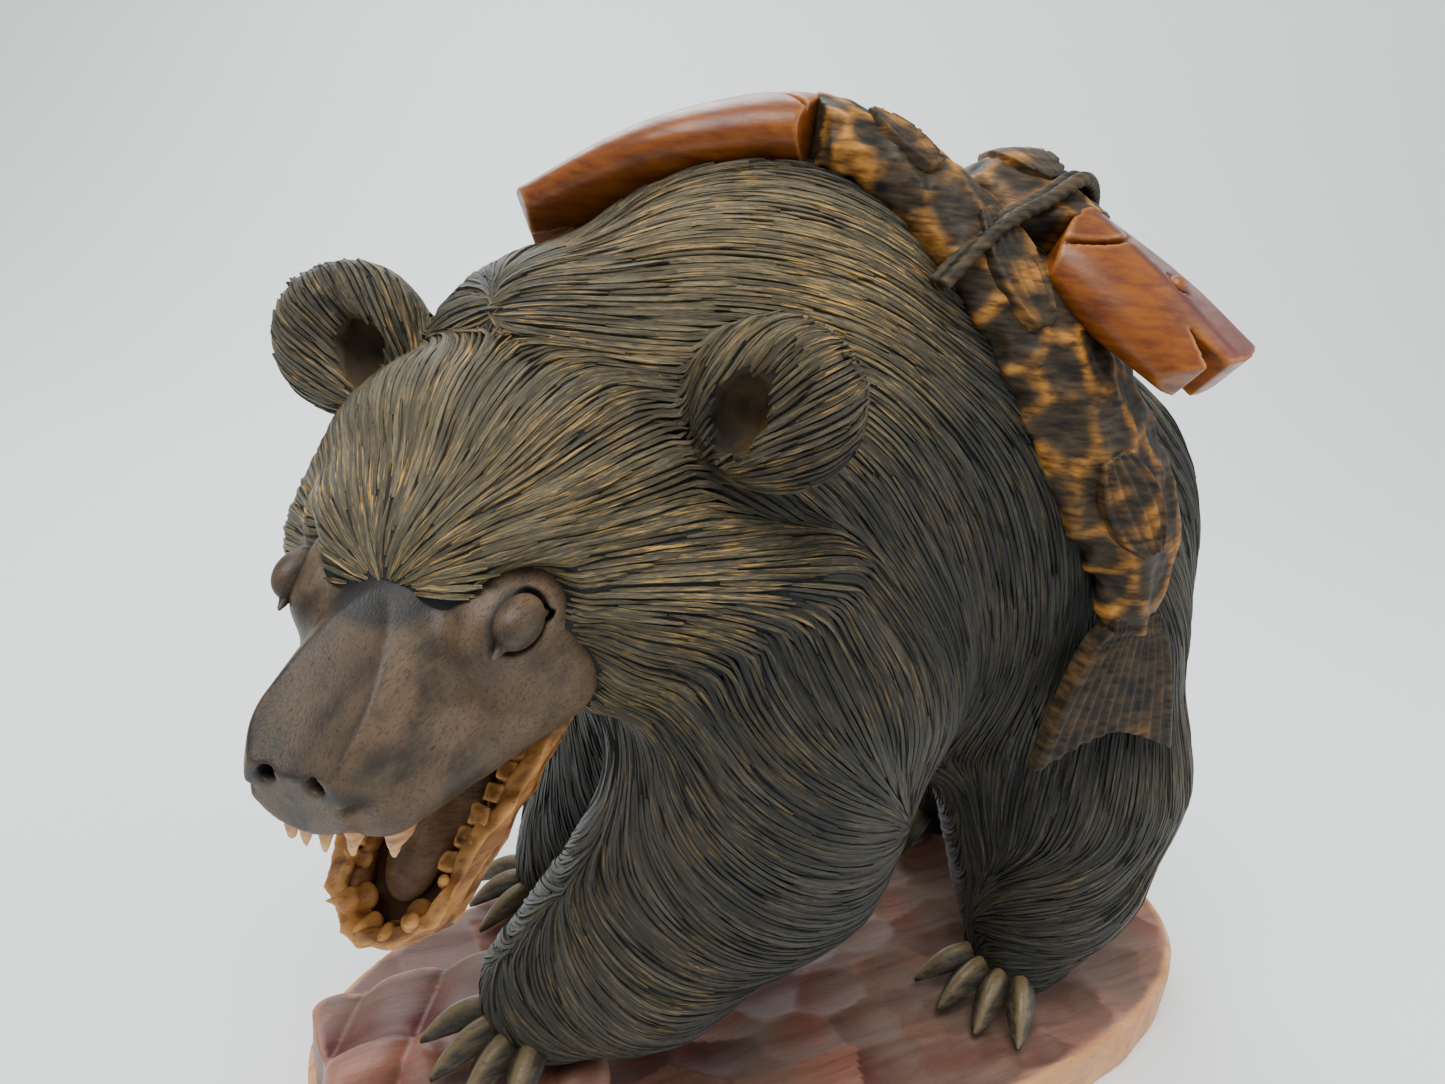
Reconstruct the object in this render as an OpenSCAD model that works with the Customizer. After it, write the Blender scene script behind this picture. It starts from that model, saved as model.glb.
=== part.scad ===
// Carved wooden bear on all fours, head turned and mouth open, with two
// salmon roped over its back, standing on a carved base. Millimetres.
// The bear faces -X, its left is -Y and the base rests on z = 0.

/* [Base] */
// Length of the base
base_l = 315; // [308:1:322]
// Width of the base
base_w = 162; // [156:1:168]
// Thickness of the base
base_h = 22; // [18:1:24]
// Width of the flat carved on the upper rim
rim_cut = 5; // [3:1:7]

/* [Head] */
// How far the head is turned to the bear's left
head_turn = 46; // [43:1:49]
// How far the muzzle points down
head_dip = 4; // [0:1:8]
// How wide the lower jaw hangs open
jaw_gape = 42; // [38:1:45]
// Diameter of each eyeball
eye_d = 13; // [12:1:15]
// Half the distance between the eyes
eye_side = 24; // [23:1:26]
// Width of an ear
ear_w = 43; // [40:1:46]

/* [Mouth] */
// Length of the longest teeth
tooth_l = 7; // [5:1:9]
// Molars along each side of the lower jaw
molars = 6; // [4:1:7]

/* [Feet] */
// Length of a claw
claw_l = 22; // [18:1:26]
// Thickness of a claw at its root
claw_d = 7; // [6:1:8]
// Claws on each foot
claws = 4; // [3:1:5]

/* [Salmon] */
// Half the depth of a fish's body at its middle
fish_half = 21; // [19:1:23]
// Half the thickness of a fish's body
fish_thick = 11; // [10:1:12]
// Span of a fish's tail
tail_span = 52; // [46:1:58]
// Diameter of one strand of the rope
rope_d = 5; // [4:0.5:6]

/* [Hidden] */
facets = 20;
fine_facets = 10;

// How far the rim reaches on the far side
base_far = 70;

// Frame of the head: its origin is between the eyes, +x to the nose, +y to the bear's left
head_at = [-133.4, -44.4, 195.8];
// Frame of the lower jaw: its origin is the hinge of the jaw, +x to the chin
hinge_at = [-19, 0, -37];
jaw_l = 61;
jaw_rear_w = 27;
jaw_front_w = 12;
jaw_deep = 15;
jaw_wall = 5.5;
ruff_side = 66;
ruff_lean = 10;

// Where each leg meets the body, its elbow or knee, its wrist or heel, and its paw
left_fore = [[-32, -30, 150], [-42, -36, 110], [-72, -36, 78], [-94, -30, 62]];
right_fore = [[-30, 28, 150], [-34, 36, 100], [-50, 42, 62], [-62, 45, 41]];
left_hind = [[76, -20, 140], [80, -30, 98], [78, -36, 64], [68, -42, 40]];
right_hind = [[90, 22, 140], [102, 30, 92], [110, 38, 58], [98, 42, 40]];
fore_radii = [50, 40, 28, 21];
hind_radii = [42, 40, 31, 20];

// Outer line of each fish from its snout to the root of its tail
front_path = [[-84, 42, 264], [-54, 20, 290], [-20, 4, 297], [10, -20, 282],
              [31, -47, 250], [46, -63, 214], [56, -67, 190], [56, -69, 169]];
rear_path = [[60, -70, 248], [50, -52, 264], [40, -28, 280], [42, -4, 288],
             [48, 28, 272], [50, 50, 246], [50, 64, 208], [46, 69, 172]];
rope_path = [[-8, -36, 262], [10, -32, 275], [26, -30, 280], [42, -26, 285], [60, -12, 278], [72, 4, 262]];
fish_depths = [0.7, 0.94, 1, 1, 1, 0.94, 0.72, 0.42];
fish_thicks = [0.4, 0.8, 1, 1, 1, 0.9, 0.7, 0.5];
gill = 2;
spine_z = 190;

fur = "#4a4436";
smooth = "#6b5444";
raw_wood = "#be7832";
horn = "#3c3a30";
stain = "#96554b";
lacquer = "#a0442a";
scorched = "#5a4a38";

function unit(v) = v / norm(v);
function outward(p) = unit([0, p.y * 1.15, max(p.z - spine_z, 0)]);
function along(path, i) =
  unit(path[min(i + 1, len(path) - 1)] - path[max(i - 1, 0)]);

module lump(at, radii, sides = facets) {
  translate(at) scale(radii) sphere(1, $fn = sides);
}

module chain(points, radii, sides = facets) {
  for (i = [0 : len(points) - 2])
    hull() {
      lump(points[i], radii[i] * [1, 1, 1], sides);
      lump(points[i + 1], radii[i + 1] * [1, 1, 1], sides);
    }
}

module head_frame() {
  translate(head_at) rotate([1, head_dip, 180 + head_turn]) children();
}

module jaw_frame() {
  head_frame() translate(hinge_at) rotate([0, jaw_gape, 0]) children();
}

// ---- Base ----

// The head end of the rim is rounder, and the far side is narrower
function rim_point(a, inset) =
  let (c = cos(a), s = sin(a),
       power = c < 0 ? 0.9 : 0.72,
       half_w = s < 0 ? base_w / 2 : base_far)
  [sign(c) * pow(abs(c), power) * (base_l / 2 - inset),
   sign(s) * pow(abs(s), power) * (half_w - inset)];

module rim(inset) {
  polygon([for (a = [0 : 9 : 351]) rim_point(a, inset)]);
}

module base_shape() {
  hull() {
    linear_extrude(base_h - rim_cut) rim(0);
    linear_extrude(base_h) rim(rim_cut);
  }
}

module base() {
  color(stain) base_shape();
}

module rock_shape() {
  hull() {
    translate([-152, -28, base_h]) cube([60, 42, 4]);
    translate([-136, -52, base_h]) cube([66, 50, 4]);
    translate([-157, -26, base_h]) cube([30, 14, 22]);
    translate([-128, -46, base_h]) cube([42, 44, 21]);
  }
}

module rock_ledge() {
  color(stain) rock_shape();
}

// ---- Body ----

module torso_shape() {
  hull() {
    lump([-32, 0, 198], [70, 56, 87]);
    lump([30, 0, 180], [66, 60, 89]);
  }
  hull() {
    lump([30, 0, 180], [66, 60, 89]);
    lump([88, 0, 158], [56, 44, 72]);
  }
  hull() {
    lump([-45, 4, 212], [50, 48, 58]);
    lump([-94, 2, 214], [34, 40, 46]);
  }
}

module torso() {
  color(fur) torso_shape();
}

module tail_stub() {
  color(fur) difference() {
    chain([[130, 0, 186], [141, 0, 168]], [14, 8]);
    torso_shape();
  }
}

module leg(points, radii, stands_on) {
  color(fur) difference() {
    chain(points, radii);
    torso_shape();
    base_shape();
    if (stands_on == "rock") rock_shape();
    translate([-base_l, -base_w, -base_h]) cube([base_l * 2, base_w * 2, base_h * 1.5]);
  }
}

module left_foreleg() { leg(left_fore, fore_radii, "rock"); }
module right_foreleg() { leg(right_fore, fore_radii, "base"); }
module left_hind_leg() { leg(left_hind, hind_radii, "base"); }
module right_hind_leg() { leg(right_hind, hind_radii, "base"); }

module claw_set(points, radii, heading) {
  paw = points[3];
  reach = radii[3];
  color(horn) difference() {
    for (i = [0 : claws - 1])
      let (turn = heading + (i - (claws - 1) / 2) * 24,
           way = [cos(turn), sin(turn), 0])
      hull() {
        lump(paw + way * (reach - 4) + [0, 0, -3], claw_d / 2 * [1, 1, 1], fine_facets);
        lump(paw + way * (reach + claw_l - 5) + [0, 0, -reach * 0.62],
             claw_d / 5 * [1, 1, 1], fine_facets);
      }
    chain(points, radii);
    base_shape();
    rock_shape();
  }
}

module left_fore_claws() { claw_set(left_fore, fore_radii, 196); }
module right_fore_claws() { claw_set(right_fore, fore_radii, 180); }
module left_hind_claws() { claw_set(left_hind, hind_radii, 200); }
module right_hind_claws() { claw_set(right_hind, hind_radii, 176); }

// ---- Head ----

module eye_balls(side) {
  translate([4, side * eye_side, -1]) hull() sphere(d = eye_d, $fn = facets);
}

module head_shape() {
  hull() {
    lump([-43, 18, 6], [35, 33, 36]);
    lump([-43, -18, 6], [35, 33, 36]);
    lump([-9, 0, -5], [18, 29, 22]);
  }
  for (side = [-1, 1])
    hull() {
      lump([-55, side * ruff_side + ruff_lean, -11], [10, 8, 18]);
      lump([-33, side * 34, -18], [25, 18, 29]);
      lump([-53, side * 44, 8], [18, 18, 22]);
    }
}

module muzzle_shape() {
  hull() {
    lump([-10, 0, -17], [17, 27, 20]);
    lump([36, 0, -27], [11, 16, 13]);
  }
}

function ear_at(side) = side > 0 ? [-46, 61, 32] : [-54, -51, 30];

module ear_shape(side) {
  translate(ear_at(side)) rotate([side * -38, -14, side * -12])
    hull() scale([0.42, 1, 1]) sphere(d = ear_w, $fn = facets);
}

module head() {
  color(fur) difference() {
    head_frame() head_shape();
    head_frame() muzzle_shape();
    head_frame() for (side = [-1, 1]) eye_balls(side);
    jaw_frame() jaw_outer();
    torso_shape();
  }
}

module muzzle() {
  color(smooth) difference() {
    head_frame() muzzle_shape();
    head_frame() for (side = [-1, 1]) eye_balls(side);
    head_frame() for (side = [-1, 1])
      translate([52, side * 6, -25]) rotate([0, -70, 0]) cylinder(h = 12, d = 5, $fn = 12);
    jaw_frame() jaw_outer();
    torso_shape();
  }
}

module ear(side) {
  color(fur) difference() {
    head_frame() difference() {
      ear_shape(side);
      translate([7, side * 3, 4]) ear_bowl(side);
    }
    head_frame() head_shape();
    torso_shape();
  }
}

module ear_bowl(side) {
  translate(ear_at(side)) hull() sphere(d = ear_w * 0.5, $fn = facets);
}

module left_ear() { ear(1); }
module right_ear() { ear(-1); }

module left_eye() { color(smooth) head_frame() eye_balls(1); }
module right_eye() { color(smooth) head_frame() eye_balls(-1); }

// ---- Mouth ----

function jaw_half(x) = jaw_rear_w + (jaw_front_w - jaw_rear_w) * x / jaw_l;

module jaw_outline(inset, from) {
  hull() {
    translate([from, -jaw_half(from) + inset]) square([2, 2 * (jaw_half(from) - inset)]);
    translate([jaw_l - jaw_front_w, 0]) circle(jaw_front_w - inset, $fn = facets);
  }
}

module jaw_outer() {
  hull() {
    translate([0, 0, -8]) linear_extrude(8) jaw_outline(0, 4);
    translate([0, 0, -jaw_deep]) linear_extrude(4) jaw_outline(5, 4);
  }
}

module jaw_inner() {
  translate([0, 0, -9]) linear_extrude(30) jaw_outline(jaw_wall, 4 + jaw_wall);
}

module lower_jaw() {
  color(raw_wood) difference() {
    jaw_frame() jaw_outer();
    jaw_frame() jaw_inner();
    torso_shape();
  }
}

module tongue() {
  color("#966946") jaw_frame() translate([0, 0, -9]) linear_extrude(4) hull() {
    translate([20, 0]) circle(9, $fn = facets);
    translate([jaw_l - 20, 0]) circle(6, $fn = facets);
  }
}

module tooth(at, h, d) {
  translate(at) cylinder(h = h, d1 = d, d2 = d * 0.3, $fn = 6);
}

module lower_teeth() {
  color(raw_wood) jaw_frame() for (side = [-1, 1]) {
    for (i = [0 : molars - 1])
      let (x = 14 + i * 5.4)
      translate([x, side * (jaw_half(x) - jaw_wall / 2 - 1.5) - 1.5, 0]) cube([4.6, 3, 3]);
    tooth([jaw_l - 8, side * 7, 0], tooth_l, 4.5);
    tooth([jaw_l - 3, side * 2.4, 0], tooth_l * 0.55, 3.2);
  }
}

module upper_teeth() {
  color("#d28c5a") difference() {
    head_frame() for (side = [-1, 1]) {
      tooth_down([36, side * 10, -36], tooth_l + 4, 5.5);
      tooth_down([42, side * 3.2, -35], tooth_l, 4);
      tooth_down([22, side * 14, -36], tooth_l, 5);
    }
    head_frame() muzzle_shape();
    jaw_frame() jaw_outer();
  }
}

module tooth_down(at, h, d) {
  translate(at) rotate([180, 0, 0]) cylinder(h = h, d1 = d, d2 = d * 0.3, $fn = 6);
}

// ---- Salmon and rope ----

module fish_slice(path, i) {
  n = outward(path[i]);
  t = along(path, i);
  b = unit(cross(n, t));
  at = path[i] - n * fish_thick * fish_thicks[i];
  multmatrix([[b.x, t.x, n.x, at.x], [b.y, t.y, n.y, at.y], [b.z, t.z, n.z, at.z]])
    scale([fish_half * fish_depths[i], 6, fish_thick * fish_thicks[i]])
    sphere(1, $fn = facets);
}

module fish_run(path, first, last) {
  for (i = [first : last - 1])
    hull() {
      fish_slice(path, i);
      fish_slice(path, i + 1);
    }
}

module fish(path) {
  fish_run(path, 0, len(path) - 1);
}

module ahead_of_gill(path) {
  n = outward(path[gill]);
  t = along(path, gill);
  b = unit(cross(n, t));
  at = path[gill];
  multmatrix([[b.x, t.x, n.x, at.x], [b.y, t.y, n.y, at.y], [b.z, t.z, n.z, at.z]])
    translate([-50, -112, -60]) cube([100, 110, 80]);
}

module fish_tail(path) {
  last = len(path) - 1;
  n = outward(path[last]);
  t = along(path, last);
  b = unit(cross(n, t));
  at = path[last] - n * fish_thick * fish_thicks[last];
  multmatrix([[b.x, t.x, n.x, at.x], [b.y, t.y, n.y, at.y], [b.z, t.z, n.z, at.z]])
    translate([0, 0, -3]) linear_extrude(8)
    polygon([[-8, 0], [8, 0], [tail_span / 2, 40], [0, 31], [-tail_span / 2, 40]]);
}

module fish_fin(path, i, side, reach) {
  n = outward(path[i]);
  t = along(path, i);
  b = unit(cross(n, t)) * side;
  at = path[i] + b * fish_half * fish_depths[i] * 0.7 - n * fish_thick;
  multmatrix([[b.x, t.x, n.x, at.x], [b.y, t.y, n.y, at.y], [b.z, t.z, n.z, at.z]])
    linear_extrude(5) polygon([[-4, -7], [6, -5], [10, reach], [-3, reach * 0.8]]);
}

module front_salmon_head() {
  color(lacquer) difference() {
    intersection() {
      fish(front_path);
      ahead_of_gill(front_path);
    }
    torso_shape();
  }
}

module front_salmon_body() {
  color(scorched) difference() {
    fish(front_path);
    ahead_of_gill(front_path);
    torso_shape();
  }
}

module fins(path, picks) {
  color(scorched) difference() {
    for (pick = picks) fish_fin(path, pick[0], pick[1], pick[2]);
    fish(path);
    torso_shape();
  }
}

module front_salmon_fins() { fins(front_path, [[3, 1, 26], [5, 1, 22], [6, 1, 16]]); }
module rear_salmon_fins() { fins(rear_path, [[3, -1, 26], [5, -1, 22], [6, -1, 16]]); }

module front_salmon_tail() {
  color(scorched) difference() {
    fish_tail(front_path);
    fish(front_path);
    torso_shape();
  }
}

module rear_salmon_head() {
  color(lacquer) difference() {
    intersection() {
      fish(rear_path);
      ahead_of_gill(rear_path);
    }
    fish(front_path);
    torso_shape();
  }
}

module rear_salmon_body() {
  color(scorched) difference() {
    fish(rear_path);
    ahead_of_gill(rear_path);
    fish(front_path);
    torso_shape();
  }
}

module rear_salmon_tail() {
  color(scorched) difference() {
    fish_tail(rear_path);
    fish(rear_path);
    torso_shape();
  }
}

module rope() {
  color(horn) difference() {
    for (strand = [-0.5, 0.5])
      chain([for (p = rope_path) p + strand * [0, -rope_d * 1.1, 0]],
            [for (p = rope_path) rope_d / 2], fine_facets);
    torso_shape();
    fish(front_path);
    fish(rear_path);
  }
}

base();
rock_ledge();
torso();
tail_stub();
head();
muzzle();
lower_jaw();
tongue();
upper_teeth();
lower_teeth();
left_ear();
right_ear();
left_eye();
right_eye();
left_foreleg();
right_foreleg();
left_hind_leg();
right_hind_leg();
left_fore_claws();
right_fore_claws();
left_hind_claws();
right_hind_claws();
front_salmon_body();
front_salmon_head();
front_salmon_fins();
front_salmon_tail();
rear_salmon_body();
rear_salmon_head();
rear_salmon_fins();
rear_salmon_tail();
rope();
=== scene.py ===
"""Carved wooden bear with two roped salmon: skins, cut fur, fish, base, materials, light and camera.

Shapes are worked out in millimetres in the frame of the CAD part and turned into metres when a
piece is made. The bear faces -X, its left is -Y, and the base stands on z = 0.
"""
import math

import bpy
import numpy as np
import openvdb
from mathutils import Matrix, Vector
from mathutils.bvhtree import BVHTree


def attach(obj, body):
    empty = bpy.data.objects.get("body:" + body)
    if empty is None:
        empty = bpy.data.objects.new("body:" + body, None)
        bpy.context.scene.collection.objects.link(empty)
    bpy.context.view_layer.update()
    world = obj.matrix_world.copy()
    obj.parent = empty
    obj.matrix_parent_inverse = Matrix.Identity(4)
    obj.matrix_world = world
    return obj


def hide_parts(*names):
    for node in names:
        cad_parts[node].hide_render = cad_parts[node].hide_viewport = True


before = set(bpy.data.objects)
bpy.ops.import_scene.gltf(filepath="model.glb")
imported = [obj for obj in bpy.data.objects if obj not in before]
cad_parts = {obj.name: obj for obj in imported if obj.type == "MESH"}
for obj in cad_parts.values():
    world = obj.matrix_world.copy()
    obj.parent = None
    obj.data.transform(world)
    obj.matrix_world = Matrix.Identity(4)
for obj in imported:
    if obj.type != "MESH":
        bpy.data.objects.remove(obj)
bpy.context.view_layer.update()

MM = 0.001
BODY = "root"
CHUNK = 20000
SEED = 7
rng = np.random.default_rng(SEED)

# ---------------------------------------------------------------------------
# Driving dimensions, in millimetres and degrees
# ---------------------------------------------------------------------------
BASE_L, BASE_W, BASE_FAR, BASE_H = 315.0, 162.0, 70.0, 22.0
HEAD_AT = np.array([-133.4, -44.4, 195.8])
HEAD_TURN, HEAD_DIP, HEAD_ROLL = 46.0, 4.0, 1.0
JAW_HINGE = np.array([-19.0, 0.0, -37.0])
JAW_GAPE = 42.0
JAW_L, JAW_REAR_W, JAW_FRONT_W = 61.0, 27.0, 12.0
EYE_AT = np.array([4.5, 25.6, -4.0])
EAR_AT = {1: (-46, 61, 32), -1: (-54, -51, 30)}
SKIN_VOXEL, FINE_VOXEL, TOOTH_VOXEL, EYE_VOXEL = 2.0, 0.7, 0.55, 0.45
WOOD_VOXEL, BASE_VOXEL = 0.9, 1.2

# Fur cuts: spacing, step, height, shortest and longest, and how far a cut's tip stands past its end
RIDGE_GAP, RIDGE_STEP, RIDGE_HEIGHT = 1.42, 2.2, 0.62
CUT_LENGTHS = (16, 60)
TIP_OVERHANG, EAR_TIP_OVERHANG = 1.2, 2.6
# How near to others a cut may start and run, as shares of the spacing, and the cells that record it
START_CLEAR, RUN_CLEAR, MARK_CELL = 0.80, 0.42, 0.5
# A cut stops where the cosine of the skin's turn from one step to the next is below this
SHARP_TURN = 0.72
# Corners of the space that holds the whole skin
SKIN_LOW, SKIN_HIGH = (-182, -96, BASE_H - 3), (172, 100, 304)

LEFT_FORE = [(-32, -30, 150), (-42, -36, 110), (-72, -36, 78), (-94, -30, 62)]
RIGHT_FORE = [(-30, 28, 150), (-34, 36, 100), (-50, 42, 62), (-62, 45, 41)]
LEFT_HIND = [(76, -20, 140), (80, -30, 98), (78, -36, 64), (68, -42, 38)]
RIGHT_HIND = [(90, 22, 140), (102, 30, 92), (110, 38, 58), (98, 42, 38)]
FORE_RADII = (48, 38, 27, 20)
HIND_RADII = (40, 38, 29, 17)
LEG_SOFT, LEG_MELT = 14, 16

FRONT_PATH = [(-84, 42, 264), (-54, 20, 289), (-20, 4, 297), (10, -20, 282),
              (31, -47, 250), (46, -63, 214), (56, -67, 190), (56, -69, 169)]
REAR_PATH = [(60, -70, 248), (50, -52, 264), (40, -28, 280), (42, -4, 288),
             (48, 28, 272), (50, 50, 246), (50, 64, 208), (46, 69, 172)]
ROPE_PATH = [(-8, -38, 258), (10, -34, 272), (26, -31, 279), (42, -26, 285), (60, -12, 278), (72, 4, 262)]
SPINE_Z = 190.0
FRONT_GILL, REAR_GILL = 80, 48
FISH_HALF, FISH_THICK = 21.0, 11.0
# Shares of those two sizes, from snout to tail root
FISH_DEPTHS = (0.82, 0.98, 1, 1, 1, 0.94, 0.72, 0.42)
FISH_THICKS = (0.72, 0.95, 1, 1, 1, 0.9, 0.7, 0.5)
CHIP_SIZE = 16.5
# Each fin: place along and across the fish, side, length, half width and angle
FRONT_FINS = [(136, -7, -1, 34, 6.5, 8), (208, -6, -1, 30, 8.0, -6), (96, -6, -1, 24, 6, 14)]
REAR_FINS = [(62, 3, 1, 30, 6.5, 10), (140, 3, 1, 30, 8.0, 4), (190, 3, 1, 24, 6, 14)]

CLAW_L, CLAW_HALF_W, CLAW_ARCH, CLAW_SPREAD = 27.0, 4.9, 3.2, 22.0
CLAW_RINGS, CLAW_SIDES = 18, 16
LEDGE_H = 43.0
ROPE_R, ROPE_LAY, ROPE_RINGS, ROPE_SIDES = 1.9, 11.0, 160, 18

# Camera: place in metres, angles in degrees, focal length for a sensor 36 mm wide
CAMERA_AT = (-0.17398, -0.25172, 0.28545)
CAMERA_AZIMUTH, CAMERA_ELEVATION, CAMERA_ROLL = -28.124, 20.759, 5.781
CAMERA_LENS, SENSOR_W = 26.68, 36


# ---------------------------------------------------------------------------
# Turning
# ---------------------------------------------------------------------------
def turn(axis, degrees):
    return np.array(Matrix.Rotation(math.radians(degrees), 3, axis))


HEAD_TURNED = turn("Z", 180 + HEAD_TURN) @ turn("Y", HEAD_DIP) @ turn("X", HEAD_ROLL)
JAW_TURNED = HEAD_TURNED @ turn("Y", JAW_GAPE)
JAW_AT = HEAD_AT + HEAD_TURNED @ JAW_HINGE


def in_head(points):
    return (points - HEAD_AT) @ HEAD_TURNED


def unit(vectors):
    vectors = np.asarray(vectors, float)
    return vectors / np.maximum(np.linalg.norm(vectors, axis=-1, keepdims=True), 1e-9)


# ---------------------------------------------------------------------------
# Distance fields
# ---------------------------------------------------------------------------
def blob(points, at, radii):
    """Distance to an ellipsoid."""
    away = points - np.asarray(at, float)
    radii = np.asarray(radii, float)
    near = np.linalg.norm(away / radii, axis=1)
    slope = np.linalg.norm(away / radii**2, axis=1) + 1e-9
    return near * (near - 1) / slope


def limb(points, start, end, start_r, end_r):
    """Distance to a round bar between two points, whose radius changes evenly."""
    start = np.asarray(start, float)
    along = np.asarray(end, float) - start
    share = np.clip((points - start) @ along / (along @ along), 0, 1)
    away = np.linalg.norm(points - start - share[:, None] * along, axis=1)
    return away - start_r - (end_r - start_r) * share


def melt(a, b, soft):
    """Both fields joined, with a fillet of the given softness."""
    share = np.clip(0.5 + 0.5 * (b - a) / soft, 0, 1)
    return b + (a - b) * share - soft * share * (1 - share)


def melt_all(fields, soft):
    total = fields[0]
    for field in fields[1:]:
        total = melt(total, field, soft)
    return total


def carve(body, tool, soft):
    """The body with the tool cut out of it."""
    return -melt(-body, tool, soft)


def chain(points, stops, radii, soft):
    """Round bars through a row of stops."""
    runs = [limb(points, stops[i], stops[i + 1], radii[i], radii[i + 1]) for i in range(len(stops) - 1)]
    return melt_all(runs, soft)


def torso_field(points):
    return melt_all([
        blob(points, (-32, 0, 198), (68, 55, 84)),
        blob(points, (30, 0, 180), (66, 58, 86)),
        blob(points, (84, 0, 158), (55, 42, 70)),
        blob(points, (-45, 4, 212), (48, 46, 56)),
        blob(points, (-94, 4, 212), (30, 38, 42)),
    ], 18)


def skull_field(points):
    q = in_head(points)
    parts = [
        blob(q, (-43, 0, 2), (37, 48, 36)),
        blob(q, (-13, 0, -4), (25, 30, 20)),
        blob(q, (-15, 15, -1), (20, 18, 15.5)),
        blob(q, (-15, -15, -1), (20, 18, 15.5)),
    ]
    for side, reach in ((1, 76), (-1, 58)):
        parts.append(limb(q, (-38, side * 34, -14), (-55, side * (reach - 8), -10), 24, 12))
        parts.append(limb(q, (-34, side * 30, -28), (-40, side * 42, -36), 17, 12))
    body = melt_all(parts, 10)
    for side in (-1, 1):
        body = carve(body, blob(q, (7, side * 31, -2), (16, 14, 13)), 0.6)
        body = carve(body, blob(q, (8, side * 32, -17), (17, 12, 13)), 1)
    return body


def in_ear(points, side):
    q = in_head(points) - np.array(EAR_AT[side], float)
    return q @ (turn("Y", -14) @ turn("Z", side * -10))


def ear_field(points, side):
    q = in_ear(points, side)
    shell = blob(q, (0, 0, 0), (9.5, 20.5, 19))
    shell = carve(shell, blob(q, (16, side * 1, 1), (10.5, 15, 15)), 3)
    return carve(shell, ear_bowl(q, side), 1.0)


def ear_bowl(q, side):
    bowl = np.maximum(blob(q, (5, side * -3, -4), (9, 8.5, 10)), blob(q, (5, side * -9, -1), (9, 10, 12)))
    return bowl + 0.8 * np.sin(q[:, 1] * 0.9 + q[:, 2] * 0.6)


def both_bowls(points):
    """Distance to the hollows of both ears."""
    return np.minimum(*[ear_bowl(in_ear(points, side), side) for side in (-1, 1)])


def tail_field(points):
    return limb(points, (128, 0, 184), (139, 0, 168), 12, 7)


FUR = {
    "torso": torso_field,
    "head": skull_field,
    "left_foreleg": lambda p: chain(p, LEFT_FORE, FORE_RADII, LEG_SOFT),
    "right_foreleg": lambda p: chain(p, RIGHT_FORE, FORE_RADII, LEG_SOFT),
    "left_hind_leg": lambda p: chain(p, LEFT_HIND, HIND_RADII, LEG_SOFT),
    "right_hind_leg": lambda p: chain(p, RIGHT_HIND, HIND_RADII, LEG_SOFT),
    "tail_stub": tail_field,
    "left_ear": lambda p: ear_field(p, 1),
    "right_ear": lambda p: ear_field(p, -1),
}
# How softly a part runs into the rest of the bear
MELT = {"head": 4, "tail_stub": 6, "left_ear": 3, "right_ear": 3}


def fur_fields(points):
    return {name: field(points) for name, field in FUR.items()}


def whole_bear(fields):
    total = fields["torso"]
    for name, field in fields.items():
        if name != "torso":
            total = melt(total, field, MELT.get(name, LEG_MELT))
    return total


def clip_floor(points, field):
    return np.maximum(field, BASE_H - points[:, 2])


def bear_field(points):
    return clip_floor(points, whole_bear(fur_fields(points)))


def node_field(points, node):
    """The part of the whole bear that belongs to one node."""
    fields = fur_fields(points)
    others = np.min([f for name, f in fields.items() if name != node], axis=0)
    body = clip_floor(points, whole_bear(fields))
    return np.maximum(body, (fields[node] - others) / 2)


def eye_recess(q, side):
    return blob(q, (7, side * 34.5, -3), (13, 8.5, 10))


def eye_shape(q, side):
    at = EYE_AT * (1, side, 1)
    ball = blob(q, at, (7.4, 4.4, 5.4))
    rear = limb(q, at + (-10, side * 1.5, -2.0), at, 0.5, 3.2)
    front = limb(q, at + (8.5, side * -1.0, -4.0), at, 0.5, 3.0)
    return melt(ball, np.minimum(rear, front), 0.5)


def top_plane(q):
    """The dished plane that is cut along the bridge, from the brow to the nose."""
    return (q[:, 0] * 0.604 + q[:, 2] * 0.797) - 9.2 - 0.021 * q[:, 1] ** 2


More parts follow.
